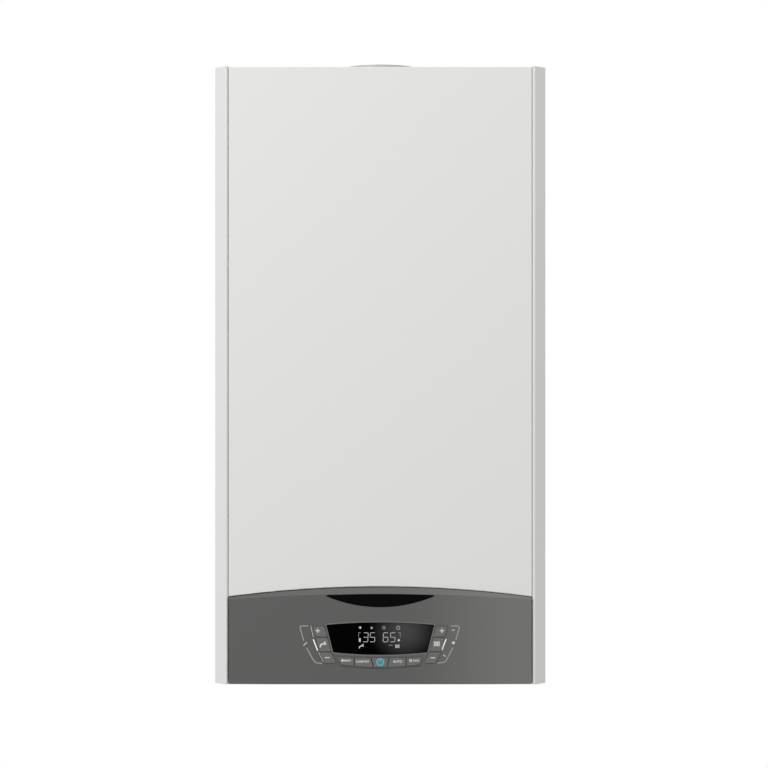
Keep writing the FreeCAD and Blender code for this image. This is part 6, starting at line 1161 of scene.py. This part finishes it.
class BOILER_OT_stage(bpy.types.Operator):
    """Set the floor, the lamps, the surroundings and the camera"""
    bl_idname = "boiler.stage"
    bl_label = "Stage"

    FLOOR_HALF_WIDTH = 6.0
    FLOOR_CENTRE = (0, -0.16)
    FLOOR_GLOW = (0.2, 0.75)  # as it lights the boiler, and as it is seen
    KEY_LAMP_PLACE = (-1.9, -3.2, 1.0)
    KEY_LAMP_WIDTH = 1.2
    TOP_LAMP_PLACE = (0.0, -1.5, 2.4)
    TOP_LAMP_WIDTH = 1.0
    LAMP_TARGET = Vector((0, -0.2, -0.3))
    FRONT_RIDGE = -0.315  # depth of the case's front ridge
    CAMERA_SIDE = 0.0045  # the camera stands a little right of the middle
    CAMERA_HEIGHT = -0.313
    SENSOR_WIDTH = 36.0

    def execute(self, context):
        scene = context.scene
        stage = scene.boiler_stage
        scene.view_settings.view_transform = "Standard"
        self.add_floor(scene, stage)
        self.add_world(scene, stage)
        self.add_lamp(scene, "key_lamp", self.KEY_LAMP_PLACE, self.KEY_LAMP_WIDTH, stage.key_power)
        self.add_lamp(scene, "top_lamp", self.TOP_LAMP_PLACE, self.TOP_LAMP_WIDTH, stage.top_power)
        self.add_camera(scene, stage)
        return {"FINISHED"}

    def feed_level(self, tree, strength, lit, shown):
        """Feed a strength one level where it lights the boiler, and another for the rays that show it:
        straight, mirrored and passed through."""
        rays = add_node(tree, "ShaderNodeLightPath", {}).outputs
        seen = rays["Is Camera Ray"]
        for kind in ("Is Glossy Ray", "Is Transmission Ray"):
            seen = add_node(tree, "ShaderNodeMath", {0: seen, 1: rays[kind]}, operation="MAXIMUM").outputs[0]
        level = add_node(tree, "ShaderNodeMapRange", {"Value": seen, "To Min": lit, "To Max": shown})
        tree.links.new(level.outputs["Result"], strength)

    def add_floor(self, scene, stage):
        form = bmesh.new()
        bmesh.ops.create_grid(form, x_segments=1, y_segments=1, size=self.FLOOR_HALF_WIDTH)
        mesh = bpy.data.meshes.new("floor")
        form.to_mesh(mesh)
        form.free()
        floor = bpy.data.objects.new("floor", mesh)
        floor.location = (*self.FLOOR_CENTRE, CASE_BOTTOM - stage.floor_drop)
        scene.collection.objects.link(floor)
        # white studio floor: as white as the background, and darker only where the boiler shades it
        material = bpy.data.materials.new("floor_studio_white")
        material.use_nodes = True
        tree = material.node_tree
        shader = tree.nodes["Principled BSDF"]
        shader.inputs["Base Color"].default_value = linear("#B4B4B4")
        shader.inputs["Roughness"].default_value = 1.0
        shader.inputs["Specular IOR Level"].default_value = 0.0
        shader.inputs["Emission Color"].default_value = linear("#FFFFFF")
        self.feed_level(tree, shader.inputs["Emission Strength"], *self.FLOOR_GLOW)
        mesh.materials.append(material)

    def add_world(self, scene, stage):
        world = bpy.data.worlds.new("studio")
        world.use_nodes = True
        tree = world.node_tree
        shader = tree.nodes["Background"]
        shader.inputs["Color"].default_value = linear("#FFFFFF")
        self.feed_level(tree, shader.inputs["Strength"], stage.fill, 1.0)
        scene.world = world

    def add_lamp(self, scene, name, place, width, power):
        data = bpy.data.lights.new(name, "AREA")
        data.energy = power
        data.shape = "SQUARE"
        data.size = width
        lamp = bpy.data.objects.new(name, data)
        lamp.location = place
        lamp.rotation_euler = (self.LAMP_TARGET - lamp.location).to_track_quat("-Z", "Y").to_euler()
        scene.collection.objects.link(lamp)

    def add_camera(self, scene, stage):
        data = bpy.data.cameras.new("camera")
        data.sensor_width = self.SENSOR_WIDTH
        data.lens = data.sensor_width * stage.camera_distance / stage.field
        camera = bpy.data.objects.new("camera", data)
        camera.location = (self.CAMERA_SIDE, self.FRONT_RIDGE - stage.camera_distance, self.CAMERA_HEIGHT)
        camera.rotation_euler = (math.pi / 2, 0, 0)
        scene.collection.objects.link(camera)
        scene.camera = camera


class BOILER_PT_sidebar(bpy.types.Panel):
    bl_idname = "BOILER_PT_sidebar"
    bl_label = "Boiler"
    bl_space_type = "VIEW_3D"
    bl_region_type = "UI"
    bl_category = "Boiler"

    def draw(self, context):
        for operator in OPERATORS:
            self.layout.operator(operator.bl_idname)
        for name, group in SETTINGS.items():
            for setting in group.__annotations__:
                self.layout.prop(getattr(context.scene, name), setting)


SETTINGS = {
    "boiler_colours": BoilerColourSettings,
    "boiler_marks": BoilerMarkSettings,
    "boiler_threads": BoilerThreadSettings,
    "boiler_leads": BoilerLeadSettings,
    "boiler_stage": BoilerStageSettings,
}
OPERATORS = (
    BOILER_OT_finishes, BOILER_OT_fascia_print, BOILER_OT_key_row_shade, BOILER_OT_key_signs,
    BOILER_OT_power_lamp, BOILER_OT_key_words, BOILER_OT_display, BOILER_OT_display_rim,
    BOILER_OT_light_guides, BOILER_OT_pipe_stubs, BOILER_OT_ignition_leads, BOILER_OT_motor_cables,
    BOILER_OT_coil_caps, BOILER_OT_fitting_screws, BOILER_OT_pump_plug, BOILER_OT_diverter_cover,
    BOILER_OT_control_box_ribs, BOILER_OT_stage,
)
CLASSES = (*SETTINGS.values(), *OPERATORS, BOILER_PT_sidebar)


def register():
    for cls in CLASSES:
        bpy.utils.register_class(cls)
    for name, group in SETTINGS.items():
        setattr(bpy.types.Scene, name, bpy.props.PointerProperty(type=group))


def unregister():
    for name in SETTINGS:
        delattr(bpy.types.Scene, name)
    for cls in reversed(CLASSES):
        bpy.utils.unregister_class(cls)


def main():
    register()
    bpy.ops.boiler.finishes()
    bpy.ops.boiler.fascia_print()
    bpy.ops.boiler.key_row_shade()
    bpy.ops.boiler.key_signs()
    bpy.ops.boiler.power_lamp()
    bpy.ops.boiler.key_words()
    bpy.ops.boiler.display()
    bpy.ops.boiler.display_rim()
    bpy.ops.boiler.light_guides()
    bpy.ops.boiler.pipe_stubs()
    bpy.ops.boiler.ignition_leads()
    bpy.ops.boiler.motor_cables()
    bpy.ops.boiler.coil_caps()
    bpy.ops.boiler.fitting_screws()
    bpy.ops.boiler.pump_plug()
    bpy.ops.boiler.diverter_cover()
    bpy.ops.boiler.control_box_ribs()
    bpy.ops.boiler.stage()


if __name__ == "__main__":
    main()
